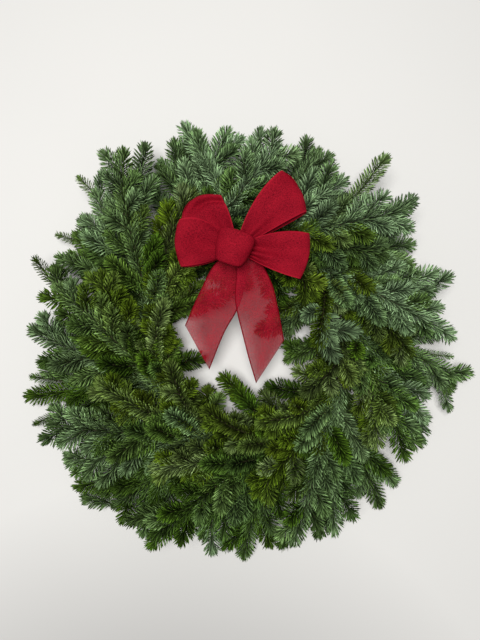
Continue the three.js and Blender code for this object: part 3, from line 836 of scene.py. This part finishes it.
# Twigs that stop short of the layout's lines, by millimetres, so that the wreath's rim and hole are ragged
# where the real ones are. A negative length lets a twig reach further.
cutShort = {
    "bunch_1_outer_low": {"twig3": -6},
    "bunch_1_outer_high": {"main": 46},
    "bunch_1_outer_top": {"twig6": -8},
    "bunch_2_outer_low": {"main": 24},
    "bunch_2_outer_high": {"main": 16, "opposite3": 8},
    "bunch_2_outer_top": {"twig5": 10, "opposite4": 8},
    "bunch_2_crest": {"main": 14},
    "bunch_3_outer_low": {"main": 12, "twig4": 8, "opposite4": 8},
    "bunch_3_outer_high": {"main": 18, "twig1": 24, "twig5": 8},
    "bunch_3_outer_top": {"twig0": 26, "twig5": 8},
    "bunch_4_outer_low": {"twig1": 28, "twig3": 12, "opposite0": 32, "opposite3": 8},
    "bunch_4_outer_high": {"twig5": -6},
    "bunch_5_outer_low": {"main": -8},
    "bunch_5_outer_high": {"opposite5": -8},
    "bunch_6_outer_low": {"main": 24, "opposite5": -8},
    "bunch_6_outer_high": {"twig6": 10},
    "bunch_6_inner": {"main": 32},
    "bunch_7_outer_low": {"main": 50, "twig4": 6},
    "bunch_7_outer_high": {"main": -6, "twig4": 6, "twig5": -4},
    "bunch_7_outer_top": {"main": 18},
    "bunch_7_inner": {"main": 20},
    "bunch_8_outer_low": {"main": 8, "twig4": 6},
    "bunch_8_outer_high": {"main": 18},
    "bunch_8_outer_top": {"twig5": 16},
    "bunch_8_inner": {"main": 16},
    "bunch_9_outer_low": {"main": 10, "twig3": 20, "twig4": 8},
    "bunch_9_outer_high": {"twig4": -8},
    "bunch_9_outer_top": {"main": 14, "opposite6": -2},
}

# Side twigs that are left out altogether
leftOut = {
    "bunch_1_outer_high": ["twig4", "twig5", "opposite4", "opposite5"],
    "bunch_1_outer_top": ["opposite6"],
    "bunch_2_outer_low": ["twig3", "twig4", "opposite3", "opposite4"],
    "bunch_2_outer_high": ["twig5"],
    "bunch_2_outer_top": ["twig6", "opposite6"],
    "bunch_2_crest": ["opposite5"],
    "bunch_3_outer_low": ["twig3", "opposite2"],
    "bunch_3_outer_high": ["twig4", "opposite5"],
    "bunch_3_outer_top": ["twig2", "opposite5"],
    "bunch_3_crest": ["opposite5"],
    "bunch_4_outer_low": ["twig4", "opposite4"],
    "bunch_4_outer_high": ["opposite5"],
    "bunch_4_outer_top": ["opposite6"],
    "bunch_4_inner": ["twig1", "opposite0", "opposite1"],
    "bunch_5_outer_low": ["opposite4"],
    "bunch_5_outer_top": ["opposite6"],
    "bunch_6_outer_low": ["twig5"],
    "bunch_6_inner": ["twig1", "opposite1"],
    "bunch_7_outer_low": ["twig3", "opposite4"],
    "bunch_7_outer_high": ["opposite5"],
    "bunch_7_outer_top": ["twig7"],
    "bunch_7_inner": ["twig1", "twig2", "opposite2"],
    "bunch_8_outer_low": ["opposite4"],
    "bunch_8_outer_high": ["twig6", "opposite5"],
    "bunch_8_outer_top": ["opposite7"],
    "bunch_8_inner": ["twig1", "opposite0"],
    "bunch_9_outer_low": ["opposite4"],
    "bunch_9_outer_high": ["opposite5"],
}

# Further twigs, each from a share along its spray's main twig to its own tip. A slim one has short needles,
# a warm one is yellower, and a negative warmth makes it blue.
addedTwigs = {
    "bunch_1_outer_top": [{"from": 0.5, "to": (180, 244, 84), "slim": 0.86, "warm": 0.45},
                          {"from": 0.85, "to": (217, 188, 78)}],
    "bunch_2_inner_crest": [{"from": 0.82, "to": (112, -26, 84), "warm": -0.9},
                            {"from": 0.76, "to": (143, 12, 82), "warm": -0.9}],
    "bunch_2_inner": [{"from": 0.5, "to": (22, 40, 28)}, {"from": 0.7, "to": (8, 12, 26)}],
    "bunch_3_outer_low": [{"from": 0.45, "to": (292, -24, 30), "slim": 0.45},
                          {"from": 0.7, "to": (284, -104, 24), "slim": 0.7}],
    "bunch_3_inner": [{"from": 0.7, "to": (46, -2, 28)}],
    "bunch_3_inner_crest": [{"from": 0.7, "to": (56, -38, 50)}],
    "bunch_4_outer_top": [{"from": 0.85, "to": (36, -270, 72)}],
    "bunch_4_outer_low": [{"from": 0.4, "to": (206, -202, 30)}],
    "bunch_4_inner_crest": [{"from": 0.7, "to": (14, -68, 46)}],
    "bunch_5_outer_top": [{"from": 0.7, "to": (-138, -276, 62)}, {"from": 0.7, "to": (-168, -238, 66)}],
    "bunch_5_inner": [{"from": 0.7, "to": (-42, -44, 44), "warm": 0.3}, {"from": 0.6, "to": (-26, -72, 34)}],
    "bunch_6_outer_low": [{"from": 0.5, "to": (-248, -204, 28)}, {"from": 0.4, "to": (-152, -276, 30)}],
    "bunch_7_inner": [{"from": 0.35, "to": (-62, -22, 34)}],
    "bunch_7_outer_low": [{"from": 0.3, "to": (-320, -80, 20)},
                          {"from": 0.75, "to": (-316, -50, 24), "slim": 0.6},
                          {"from": 0.3, "to": (-314, -122, 20), "slim": 0.5}],
    "bunch_7_outer_top": [{"from": 0.8, "to": (-258, 101, 66)},
                          {"from": 0.9, "to": (-292, 116, 62), "slim": 0.62, "warm": 0.3}],
    "bunch_8_outer_low": [{"from": 0.4, "to": (-272, 118, 32)},
                          {"from": 0.8, "to": (-280, 152, 26), "slim": 0.5, "warm": 0.4}],
    "bunch_8_outer_high": [{"from": 0.85, "to": (-236, 226, 58), "slim": 0.6, "warm": 0.4}],
    "bunch_8_outer_top": [{"from": 0.5, "to": (-141, 268, 58)}, {"from": 0.6, "to": (-126, 222, 62)}],
    "bunch_8_inner": [{"from": 0.3, "to": (-64, 82, 44)}, {"from": 0.6, "to": (-27, 66, 44)}],
    "bunch_9_outer_top": [{"from": 0.7, "to": (15, 281, 76)}, {"from": 0.45, "to": (-91, 294, 60)}],
}

# From this band on, a spray's side twigs are blue with wax
blueFrom = {"bunch_2_inner_crest": 2}
blueWarmth = -0.9


def addedLine(main, share, tip):
    # Leaves the main twig halfway between its heading and the way to the tip
    pull = 0.35
    root, tip = main.pointAt(share), np.array(tip, float)
    way = tip - root
    leave = unit(main.headingAt(share) + unit(way)) * np.linalg.norm(way) * pull
    return Line(root, root + leave, tip - way * pull, tip)


# The spray tree: needles stand all along each twig line, and the line itself becomes bark
goldenShare = 0.381966


class SprayNodes(Nodes):
    # The tree's own nodes, and the inputs that each spray sets
    inputs = {"Geometry": "Geometry", "Needle Shape": "Object", "Needle Pitch": "Float", "Fan Angle": "Float",
              "Lean Jitter": "Float", "Length Jitter": "Float", "Seed": "Int", "Needle Finish": "Material",
              "Bark Finish": "Material"}

    def __init__(self, name):
        super().__init__(bpy.data.node_groups.new(name, "GeometryNodeTree"))
        face = self.tree.interface
        face.new_socket("Geometry", in_out="OUTPUT", socket_type="NodeSocketGeometry")
        for key, kind in self.inputs.items():
            face.new_socket(key, in_out="INPUT", socket_type="NodeSocket" + kind)
        self.given = self.add("NodeGroupInput").outputs

    def named(self, name):
        node = self.add("GeometryNodeInputNamedAttribute", data_type="FLOAT")
        self.put(name, node.inputs["Name"])
        return node.outputs["Attribute"]

    def store(self, geometry, name, value):
        inputs = {"Geometry": geometry, "Name": name, "Value": value}
        return self.run("GeometryNodeStoreNamedAttribute", inputs, data_type="FLOAT", domain="POINT")

    def random(self, low, high, offset):
        node = self.add("FunctionNodeRandomValue", data_type="FLOAT")
        sockets = {s.identifier: s for s in node.inputs}
        self.put(low, sockets["Min_001"])
        self.put(high, sockets["Max_001"])
        self.put(self.calc("ADD", self.given["Seed"], offset), sockets["Seed"])
        return node.outputs[1]

    def turned(self, rotation, axis, angle):
        euler = self.add("ShaderNodeCombineXYZ")
        self.put(angle, euler.inputs[axis])
        turn = self.add("FunctionNodeEulerToRotation")
        self.put(euler.outputs[0], turn.inputs[0])
        return self.run("FunctionNodeRotateRotation", {"Rotation": rotation, "Rotate By": turn.outputs[0]},
                        rotation_space="LOCAL")


def needleSides(t):
    # Spreads the needles over the fan by the golden share, more of them at the twig's sides than on top
    index = t.add("GeometryNodeInputIndex").outputs[0]
    side = t.scaled(t.calc("FRACT", t.times(index, goldenShare)), 2.0, -1.0)
    aside = t.calc("POWER", t.calc("ABSOLUTE", side), foliage["sideBias"])
    fan = t.times(t.times(t.calc("SIGN", side), aside), t.times(t.given["Fan Angle"], 0.5))
    return aside, fan


def needleTurns(t, start, aside, fan):
    # Rolls each needle round its twig, leans it towards the tip and turns its face upwards
    up, stray = -math.pi / 2, foliage["fanJitter"]
    roll = t.calc("ADD", fan, t.random(up - stray, up + stray, 1))
    loose = t.times(t.given["Lean Jitter"], t.named("loose"))
    share = t.scaled(aside, 1 - foliage["topLean"], foliage["topLean"])
    lean = t.calc("ADD", t.times(t.named("lean"), share), t.random(t.times(loose, -1.0), loose, 2))
    turned = t.turned(t.turned(start, 2, roll), 1, lean)
    return t.turned(turned, 2, t.times(fan, foliage["faceUp"]))


def needleTint(t, aside):
    # Needles at the twig's sides are the bright ones: those on top and below it lie in its shade
    apart = t.calc("ABSOLUTE", t.calc("SUBTRACT", aside, foliage["shineAt"]))
    shine = t.calc("SUBTRACT", 1.0, t.times(apart, foliage["shineFall"]))
    bright = t.calc("MAXIMUM", shine, foliage["leastShine"])
    return t.scaled(bright, foliage["sideShine"], t.times(t.random(0.0, 1.0, 4), 1 - foliage["sideShine"]))


def standNeedles(t, level):
    places = t.add("GeometryNodeCurveToPoints", mode="LENGTH")
    t.put(level, places.inputs["Curve"])
    t.put(t.given["Needle Pitch"], places.inputs["Length"])
    crowd = t.run("GeometryNodeDuplicateElements", {"Geometry": places.outputs["Points"],
                                                    "Amount": t.named("crowd")}, domain="POINT")
    aside, fan = needleSides(t)
    turned = needleTurns(t, places.outputs["Rotation"], aside, fan)
    shape = t.add("GeometryNodeObjectInfo")
    t.put(t.given["Needle Shape"], shape.inputs["Object"])
    jitter = t.given["Length Jitter"]
    stray = t.random(t.calc("SUBTRACT", 1.0, jitter), t.calc("ADD", 1.0, jitter), 3)
    return t.run("GeometryNodeInstanceOnPoints", {
        "Points": t.store(crowd, "tint", needleTint(t, aside)),
        "Selection": t.calc("GREATER_THAN", t.named("size"), foliage["smallest"]),
        "Instance": shape.outputs["Geometry"],
        "Rotation": turned,
        "Scale": t.times(t.named("size"), stray),
    })


def barkTube(t, level):
    profile = t.run("GeometryNodeCurvePrimitiveCircle", {"Resolution": foliage["barkSides"], "Radius": 1.0})
    tube = t.run("GeometryNodeCurveToMesh", {"Curve": level, "Profile Curve": profile,
                                             "Scale": t.named("thick"), "Fill Caps": True})
    return t.store(tube, "bark", 1.0)


def keptAboveFloor(t, geometry):
    # Only the height has a limit that counts: the other two are beyond the wreath
    raised = t.add("ShaderNodeVectorMath", operation="MAXIMUM")
    t.put(t.add("GeometryNodeInputPosition").outputs[0], raised.inputs[0])
    t.put((-10, -10, foliage["floorGap"] * mm), raised.inputs[1])
    return t.run("GeometryNodeSetPosition", {"Geometry": geometry, "Position": raised.outputs[0]})


def makeSprayTree():
    t = SprayNodes("fir_spray")
    line = t.run("GeometryNodeMeshToCurve", {"Mesh": t.given["Geometry"]})
    level = t.run("GeometryNodeSetCurveNormal", {"Curve": line}, mode="Z_UP")
    joined = t.add("GeometryNodeJoinGeometry")
    for part in (barkTube(t, level), standNeedles(t, level)):
        t.put(part, joined.inputs[0])
    real = t.run("GeometryNodeRealizeInstances", {"Geometry": joined.outputs[0]})
    smooth = t.run("GeometryNodeSetShadeSmooth", {"Geometry": keptAboveFloor(t, real)})
    green = t.run("GeometryNodeSetMaterial", {"Geometry": smooth, "Material": t.given["Needle Finish"]})
    isBark = t.calc("GREATER_THAN", t.named("bark"), 0.5)
    dressed = t.run("GeometryNodeSetMaterial", {"Geometry": green, "Selection": isBark,
                                                "Material": t.given["Bark Finish"]})
    t.put(dressed, t.add("NodeGroupOutput").inputs[0])
    return t.tree


def runTree(piece, tree, values):
    # Sets the inputs by their identifiers, and turns the result into a plain mesh
    modifier = piece.modifiers.new("shape", "NODES")
    modifier.node_group = tree
    identifiers = {item.name: item.identifier for item in tree.interface.items_tree if item.in_out == "INPUT"}
    for name, value in values.items():
        modifier[identifiers[name]] = value
    evaluated = piece.evaluated_get(bpy.context.evaluated_depsgraph_get())
    mesh = bpy.data.meshes.new_from_object(evaluated)
    mesh.name = piece.name
    piece.modifiers.remove(modifier)
    piece.data = mesh


def smoothStep(value):
    value = min(max(value, 0.0), 1.0)
    return value * value * (3 - 2 * value)


def between(low, high, share):
    return low + (high - low) * share


class SprayLines:
    # Twig lines of one spray as the edges of a mesh, with what each point says of its needles
    def __init__(self):
        self.points = []
        self.edges = []
        self.values = {"lean": [], "loose": [], "crowd": [], "size": [], "thick": [],
                       "shade": [], "bloom": [], "warm": []}

    def addTwig(self, line, radii, bare, tones, short=0, stem=0, slim=1):
        # Stem is how far a main twig goes on behind its start, through the clamp to its cut end
        length = line.length - foliage["cutBack"] - short
        if length < foliage["shortest"]:
            return
        count = max(foliage["leastSteps"], round(length / foliage["lineStep"]))
        places = [length * i / count for i in range(count)]
        end = line.pointAt(length / line.length)
        heading = line.headingAt(length / line.length)
        first = len(self.points)
        if stem:
            self.add(line.pointAt(0) - line.headingAt(0) * stem, 1, 0, radii[0], tones)
        for place in places:
            near = smoothStep((length - place) / foliage["tipLength"])
            root = smoothStep((place - bare) / foliage["rootFade"] + foliage["rootFadeStart"])
            size = between(foliage["tipSize"], 1, near) * between(foliage["rootSize"], 1, root)
            size = size * slim if place > bare else 0
            thick = radii[0] + (radii[1] - radii[0]) * place / length
            self.add(line.pointAt(place / line.length), near, size, thick, tones)
        for forward, swell in foliage["bud"]:
            self.add(end + heading * forward, 0, foliage["tipSize"] * slim, radii[1] * swell, tones)
        self.edges += [(i, i + 1) for i in range(first, len(self.points) - 1)]

    def add(self, point, near, size, thick, tones):
        # Near falls from 1 to 0 towards the tip, where needles lean forward and spread like a dome
        self.points.append(toMetres(point))
        values = {"lean": math.radians(between(foliage["tipLean"], foliage["lean"], near)),
                  "loose": 1 + (foliage["tipLoose"] - 1) * (1 - near),
                  "crowd": foliage["tipCrowd"] if near < foliage["crowdBelow"] else 1,
                  "size": size, "thick": thick * mm, **tones}
        for name, value in values.items():
            self.values[name].append(value)

    def makeObject(self, name):
        mesh = bpy.data.meshes.new(name)
        mesh.from_pydata([tuple(p) for p in self.points], self.edges, [])
        for key, values in self.values.items():
            mesh.attributes.new(key, "FLOAT", "POINT").data.foreach_set("value", values)
        piece = bpy.data.objects.new(name, mesh)
        bpy.context.collection.objects.link(piece)
        return piece


# Waxier towards the top right of the wreath and towards its rim, more olive at its left, and now and then a
# fresh, warm twig. Bloom and shade add up parts for all, the top right, the rim, both, the left and chance.
toneRule = {
    "waxAngle": 60,
    "leftAngle": 175,
    "leftWidth": 45,
    "rimFrom": 165,
    "rimWidth": 120,
    "bloom": {"all": 0.1, "sector": 0.12, "rim": 0.25, "both": 0.42, "left": -0.12, "chance": 0.5},
    "shade": {"all": 0.9, "sector": 0, "rim": 0.22, "both": 0.18, "left": -0.06, "chance": 0.38},
    "fresh": 0.6,
    "freshRarity": 4,
    "freshInside": 1.2,
    "leftWarmth": 0.2,
}


def tonesAt(point, number, draw):
    angle = math.degrees(math.atan2(point[1], point[0]))
    sector = (1 + math.cos(math.radians(angle - toneRule["waxAngle"]))) / 2
    left = math.exp(-((angle % 360 - toneRule["leftAngle"]) / toneRule["leftWidth"]) ** 2)
    rim = smoothStep((math.hypot(point[0], point[1]) - toneRule["rimFrom"]) / toneRule["rimWidth"])

    def total(key, chance):
        rule = toneRule[key]
        known = rule["all"] + rule["sector"] * sector + rule["rim"] * rim + rule["both"] * rim * sector
        return known + rule["left"] * left + spread(number, chance, rule["chance"])

    fresh = toneRule["fresh"] * noise(number, draw + draws["freshTwig"]) ** toneRule["freshRarity"]
    warm = toneRule["leftWarmth"] * left * noise(number, draw + draws["leftWarmth"])
    return {"shade": total("shade", draw + draws["shade"]),
            "bloom": min(max(total("bloom", draw), 0), 1),
            "warm": fresh * (toneRule["freshInside"] - rim) + warm}


def oppositeTwig(spray, band):
    # A twig across from the layout's own, or none where it would reach the floor
    number, main = spray["number"], spray["main"]
    share = (spray["bands"][band] + foliage["oppositeShift"]) / main.length
    root, along = main.pointAt(share), main.headingAt(share)
    sideways = -1 if (number + band) % 2 else 1
    stray = spread(number, draws["oppositeLength"] + band, foliage["oppositeSpread"])
    length = spray["kind"]["twig"] * sizeAt(band, spray["bands"]) * (foliage["oppositeSize"] + stray)
    tilt = between(*foliage["oppositeTilt"], noise(number, draws["oppositeTilt"] + band))
    line = twigLine(root, along, sideways, tilt, length, twigAngle(number, draws["oppositeAngle"] + band))
    lowest = line.samples(foliage["oppositeSamples"])[:, 2].min()
    return line if lowest > foliage["lowest"] else None


def sideTwigs(spray):
    # Each with its name in the tables, its band, its line and its draw for the tones
    for twig in spray["twigs"]:
        yield "twig%d" % twig["band"], twig["band"], twig["line"], draws["twigTones"]
    for band in range(len(spray["bands"]) - 1):
        line = oppositeTwig(spray, band)
        if line is not None:
            yield "opposite%d" % band, band, line, draws["oppositeTones"]


def sprayLines(spray):
    name, number, main = spray["name"], spray["number"], spray["main"]
    short = cutShort.get(name, {})
    radii, bare = foliage["twigRadius"], foliage["twigBareRoot"]
    lines = SprayLines()
    tones = tonesAt(main.pointAt(1), number, draws["mainTones"])
    lines.addTwig(main, foliage["mainRadius"], foliage["bareRoot"], tones, short.get("main", 0),
                  foliage["stemEnd"])
    for key, band, line, draw in sideTwigs(spray):
        if key in leftOut.get(name, []):
            continue
        tones = tonesAt(line.pointAt(1), number, draw + band)
        if name in blueFrom and band >= blueFrom[name]:
            tones["warm"] = blueWarmth
        lines.addTwig(line, radii, bare, tones, short.get(key, 0))
    for i, added in enumerate(addedTwigs.get(name, [])):
        tones = tonesAt(added["to"], number, draws["addedTones"] + i)
        tones["warm"] = added.get("warm", tones["warm"])
        line = addedLine(main, added["from"], added["to"])
        lines.addTwig(line, radii, bare, tones, slim=added.get("slim", 1))
    return lines


def addSpray(spray, tree, needleShape):
    slot = slotOf[spray["name"]]
    piece = sprayLines(spray).makeObject("greens_" + spray["name"])
    runTree(piece, tree, {
        "Needle Shape": needleShape,
        "Needle Pitch": foliage["needlePitch"] * mm,
        "Fan Angle": math.radians(foliage["fan"]),
        "Lean Jitter": math.radians(foliage["leanJitter"]),
        "Length Jitter": foliage["lengthJitter"],
        "Seed": spray["number"] * 10,
        "Needle Finish": needles[slot],
        "Bark Finish": bark,
    })
    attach(piece, "root")
    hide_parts(spray["name"])
    return piece


needleShape = makeNeedle()
sprayTree = makeSprayTree()
greens = [addSpray(spray, sprayTree, needleShape) for spray in sprays]
triangles = sum(sum(len(p.vertices) - 2 for p in piece.data.polygons) for piece in greens)
print("greens ready:", len(greens), "pieces,", triangles, "triangles")

# Ribbon pieces: thin closed sheets over a grid, with millimetres across and along as their UV map. Each grid
# is how many faces lie across and along, and each length is that of its flat ribbon.
ribbon = {
    "thickness": 0.35,
    "loopGrid": (28, 90),
    "centreGrid": (36, 72),
    "tailGrid": (24, 60),
    "loopLength": 2.15,  # of the loop's reach
    "centreLength": 112,
    "tailLengths": (147, 165),
    "tailOverlaps": ((0, 3), (-9, 0)),  # how far each tail's two edges shift sideways
}

# The loops' gathers: pleats that wander and flatten, a soft sag, and the folded lip of one loop
gathers = {
    "seedStep": 0.9,
    "flatten": 1.2,
    "wander": (1.1, 2.1),  # how much, and its waves across
    "sag": 4.5,
    "sagAcross": (3, 1.7),  # waves, and their shift from loop to loop
    "sagAlong": (5, 2),
    "lipAt": 0.86,
    "lipWidth": 0.06,
    "lipEnd": 0.9,
}

# The soft knot: its place and turn beside the plain loop's, its rolled rims, crown, flare and unevenness
knot = {
    "turn": -6,
    "offset": (-3.5, -2.0),
    "roll": 2.6,
    "crown": 1.4,
    "backLength": 0.93,
    "frontLength": 0.11,
    "flare": 0.15,
    "tuck": 0.08,
    "drift": (1.6, 2.2, 0.6),  # depth, waves along and their shift
    "swell": (0.9, 3, 2),  # depth, waves along and round
}

# The tails' ripples and gathers, each with its height and its waves, and where one tail lies over the other
tailFolds = {
    "ripple": (2.2, 3.1),
    "fineRipple": (1.2, 7, 2),  # its third value slants the waves
    "gather": (3.0, 6, 9),  # height, fall along the tail and waves across
    "overlapAt": 0.3,
    "overlapWidth": 0.24,
}


def ribbonMesh(name, sheets):
    corners, faces, uvs = [], [], []
    for at, grid, length, closed in sheets:
        addSheet(corners, faces, uvs, at, grid, (ribbonFinish["width"], length), closed)
    mesh = bpy.data.meshes.new(name)
    mesh.from_pydata([tuple(toMetres(c)) for c in corners], [], faces)
    layer = mesh.uv_layers.new(name="ribbon")
    for loop in mesh.loops:
        layer.data[loop.index].uv = uvs[loop.vertex_index]
    mesh.shade_smooth()
    piece = bpy.data.objects.new(name, mesh)
    bpy.context.collection.objects.link(piece)
    return piece


def sheetNormals(grid, closed):
    if closed:
        du = np.roll(grid[:-1], -1, 0) - np.roll(grid[:-1], 1, 0)
        du = np.concatenate([du, du[:1]])
    else:
        du = np.gradient(grid, axis=0)
    normal = np.cross(du, np.gradient(grid, axis=1))
    return normal / np.maximum(np.linalg.norm(normal, axis=2, keepdims=True), 1e-9)


def addSheet(corners, faces, uvs, at, counts, size, closed):
    # Both faces of a sheet with its rims. A closed one joins its last row to its first.
    across, along = counts
    grid = np.array([[at(i / along, 2 * j / across - 1) for j in range(across + 1)]
                     for i in range(along + 1)])
    normal = sheetNormals(grid, closed)
    first = len(corners)
    half = ribbon["thickness"] / 2
    rows = along if closed else along + 1
    for i in range(rows):
        for j in range(across + 1):
            corners += [grid[i, j] + normal[i, j] * half, grid[i, j] - normal[i, j] * half]
            place = ((j / across - 0.5) * size[0], i / along * size[1])
            uvs += [place, place]

    def face(*places):
        faces.append([first + ((i % rows) * (across + 1) + j) * 2 + side for i, j, side in places])

    for i in range(along):
        for j in range(across):
            face((i, j, 0), (i + 1, j, 0), (i + 1, j + 1, 0), (i, j + 1, 0))
            face((i, j, 1), (i, j + 1, 1), (i + 1, j + 1, 1), (i + 1, j, 1))
        face((i, 0, 1), (i + 1, 0, 1), (i + 1, 0, 0), (i, 0, 0))
        face((i, across, 0), (i + 1, across, 0), (i + 1, across, 1), (i, across, 1))
    if not closed:
        for j in range(across):
            face((0, j, 0), (0, j + 1, 0), (0, j + 1, 1), (0, j, 1))
            face((along, j, 0), (along, j, 1), (along, j + 1, 1), (along, j + 1, 0))


def pleatedLoop(loop, seed):
    # A loop widens fast and then evens out, by its own measure at its right and left edge. The cloth
    # keeps its full width, so it stands in pleats where the loop narrows to the waist.
    pleats, strength = loop["pleats"]

    def widths(share, v):
        full = loop["full"][0] * (1 - v) / 2 + loop["full"][1] * (1 + v) / 2
        fan = (loop["fold"] - bow["waistWidth"]) * share
        return fan * full * (1 - share) * v / 2, bow["waistWidth"] + fan * (1 + full * (1 - share))

    def pleat(share, width, v):
        spare = math.sqrt(max(ribbonFinish["width"] ** 2 - width ** 2, 0))
        depth = spare / (4 * pleats) * strength * (1 - share) ** gathers["flatten"]
        wander, pitch = gathers["wander"]
        return depth * math.cos(math.pi * pleats * v + seed + wander * math.sin(pitch * v + seed))

    def sag(share, v):
        (waves, shift), (turns, turn) = gathers["sagAcross"], gathers["sagAlong"]
        return gathers["sag"] * math.sin(waves * v + shift * seed) * math.sin(turns * share + turn * seed)

    def lip(share, v):
        near = math.exp(-((share - gathers["lipAt"]) / gathers["lipWidth"]) ** 2)
        return loop["lip"] * near * smoothStep(gathers["lipEnd"] - v)

    def at(u, v):
        turn = loopTurn(u)
        share = (1 - math.cos(turn)) / 2
        wider, width = widths(share, v)
        side = 1 if u < 0.5 else -1
        lift = (pleat(share, width, v) + sag(share, v) * share * (1 - v * v)) * side
        lift += loop["tilt"] * v * share
        if side > 0:
            lift -= lip(share, v)
        sideways = wider + loop["shift"] * math.sin(turn) * share
        return loopPoint(loop, u, v) + outward(loop["heading"] + 90) * sideways + np.array([0, 0, lift])
    return at


def puffedCentre(u, v):
    # The ribbon's edges are folded under, so the band is rounded at its rims and crowned between them
    size = bow["centre"]
    heading = size["turn"] + knot["turn"]
    turn = 2 * math.pi * u
    front = math.sin(turn)
    place = abs(v) * ribbonFinish["width"] / 2
    roll = knot["roll"]
    flat = size["length"] / 2 - roll
    angle = min(max((place - flat) / roll, 0), math.pi)
    along = min(place, flat) + roll * math.sin(angle) - max(place - flat - math.pi * roll, 0)
    inset = roll * (1 - math.cos(angle)) + knot["crown"] * (min(along, flat) / flat) ** 2
    bulge = knot["backLength"] + knot["frontLength"] * max(front, 0)
    share = along / (size["length"] / 2) * (1 if v > 0 else -1)
    start = bow["waist"] + np.array([*knot["offset"], 0.0])
    start[2] = size["middle"]
    half = size["width"] / 2 * (1 + knot["flare"] * share - knot["tuck"] * share ** 4) - inset
    depth, waves, shift = knot["drift"]
    drift = depth * math.sin(waves * share + shift) * front
    depth, waves, turns = knot["swell"]
    high = size["height"] / 2 - inset + depth * math.sin(waves * share + turns * turn)
    point = start + outward(heading) * (half * math.cos(turn) + drift)
    point = point + outward(heading + 90) * size["length"] / 2 * share * bulge
    return point + np.array([0, 0, high * front])


def softTail(edges, seed, overlap):
    # Lengthwise ripples that fade towards the wired edges, and gathers at the waist
    def at(u, v):
        height, waves = tailFolds["ripple"]
        ripple = height * (1 - v * v) * math.sin(waves * u + seed)
        height, waves, slant = tailFolds["fineRipple"]
        ripple += height * (1 - v * v) * math.sin(waves * u + slant * v + seed)
        height, fade, waves = tailFolds["gather"]
        gather = height * math.exp(-u * fade) * math.cos(waves * v + seed)
        near = math.exp(-((u - tailFolds["overlapAt"]) / tailFolds["overlapWidth"]) ** 2)
        over = (overlap[0] * (1 - v) + overlap[1] * (1 + v)) / 2 * near
        return tailPoint(edges, u, v) + np.array([over, 0, ripple + gather])
    return at


def makeBow():
    loopLengths = [ribbon["loopLength"] * loop["reach"] for loop in bow["loops"]]
    loopSheets = [(pleatedLoop(loop, gathers["seedStep"] * n), ribbon["loopGrid"], length, False)
                  for n, (loop, length) in enumerate(zip(bow["loops"], loopLengths))]
    tailRows = zip(bow["tails"], ribbon["tailLengths"], ribbon["tailOverlaps"])
    tailSheets = [(softTail(edges, n, overlap), ribbon["tailGrid"], length, False)
                  for n, (edges, length, overlap) in enumerate(tailRows)]
    loops = ribbonMesh("ribbon_loops", loopSheets)
    centre = ribbonMesh("ribbon_centre", [(puffedCentre, ribbon["centreGrid"], ribbon["centreLength"], True)])
    tails = ribbonMesh("ribbon_tails", tailSheets)
    look = ribbonFinish
    layered = ribbonMaterial("ribbon_layers", look["layeredCover"], look["layered"], look["layeredEdgeHighlight"])
    sheer = ribbonMaterial("ribbon_sheer", look["singleCover"], look["single"], look["singleEdge"])
    for piece, node, material in ((loops, "bow_loops", layered), (centre, "bow_centre_loop", layered),
                                  (tails, "bow_tails", sheer)):
        piece.data.materials.append(material)
        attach(piece, "root")
        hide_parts(node)


makeBow()
print("bow ready")

for name in ("clamp_ring", "bow_tie_wire"):
    node = frame["nodes"][name]
    node.data.materials.clear()
    node.data.materials.append(wire)

# Pale floor and soft light from the upper left
studio = {
    "floorSize": 8.0,
    "world": (0.97, 0.98, 0.96, 1),
    "worldStrength": 0.2,
    "keyPlace": (-0.2, 0.2, 2.1),
    "keySize": 0.9,
    "keyPower": 45,
    "keyColour": (1.0, 0.975, 0.94),
}


def makeStudio():
    bpy.ops.mesh.primitive_plane_add(size=studio["floorSize"])
    floor = bpy.context.object
    floor.name = "floor"
    floor.data.materials.append(floorMaterial())
    world = bpy.data.worlds.new("studio")
    world.use_nodes = True
    background = world.node_tree.nodes["Background"]
    background.inputs["Color"].default_value = studio["world"]
    background.inputs["Strength"].default_value = studio["worldStrength"]
    bpy.context.scene.world = world
    light = bpy.data.lights.new("key", "AREA")
    light.size = studio["keySize"]
    light.energy = studio["keyPower"]
    light.color = studio["keyColour"]
    key = bpy.data.objects.new("key", light)
    key.location = studio["keyPlace"]
    key.rotation_euler = (-Vector(studio["keyPlace"])).to_track_quat("-Z", "Y").to_euler()
    bpy.context.collection.objects.link(key)
    bpy.context.scene.view_settings.view_transform = "Standard"


makeStudio()
print("studio ready")
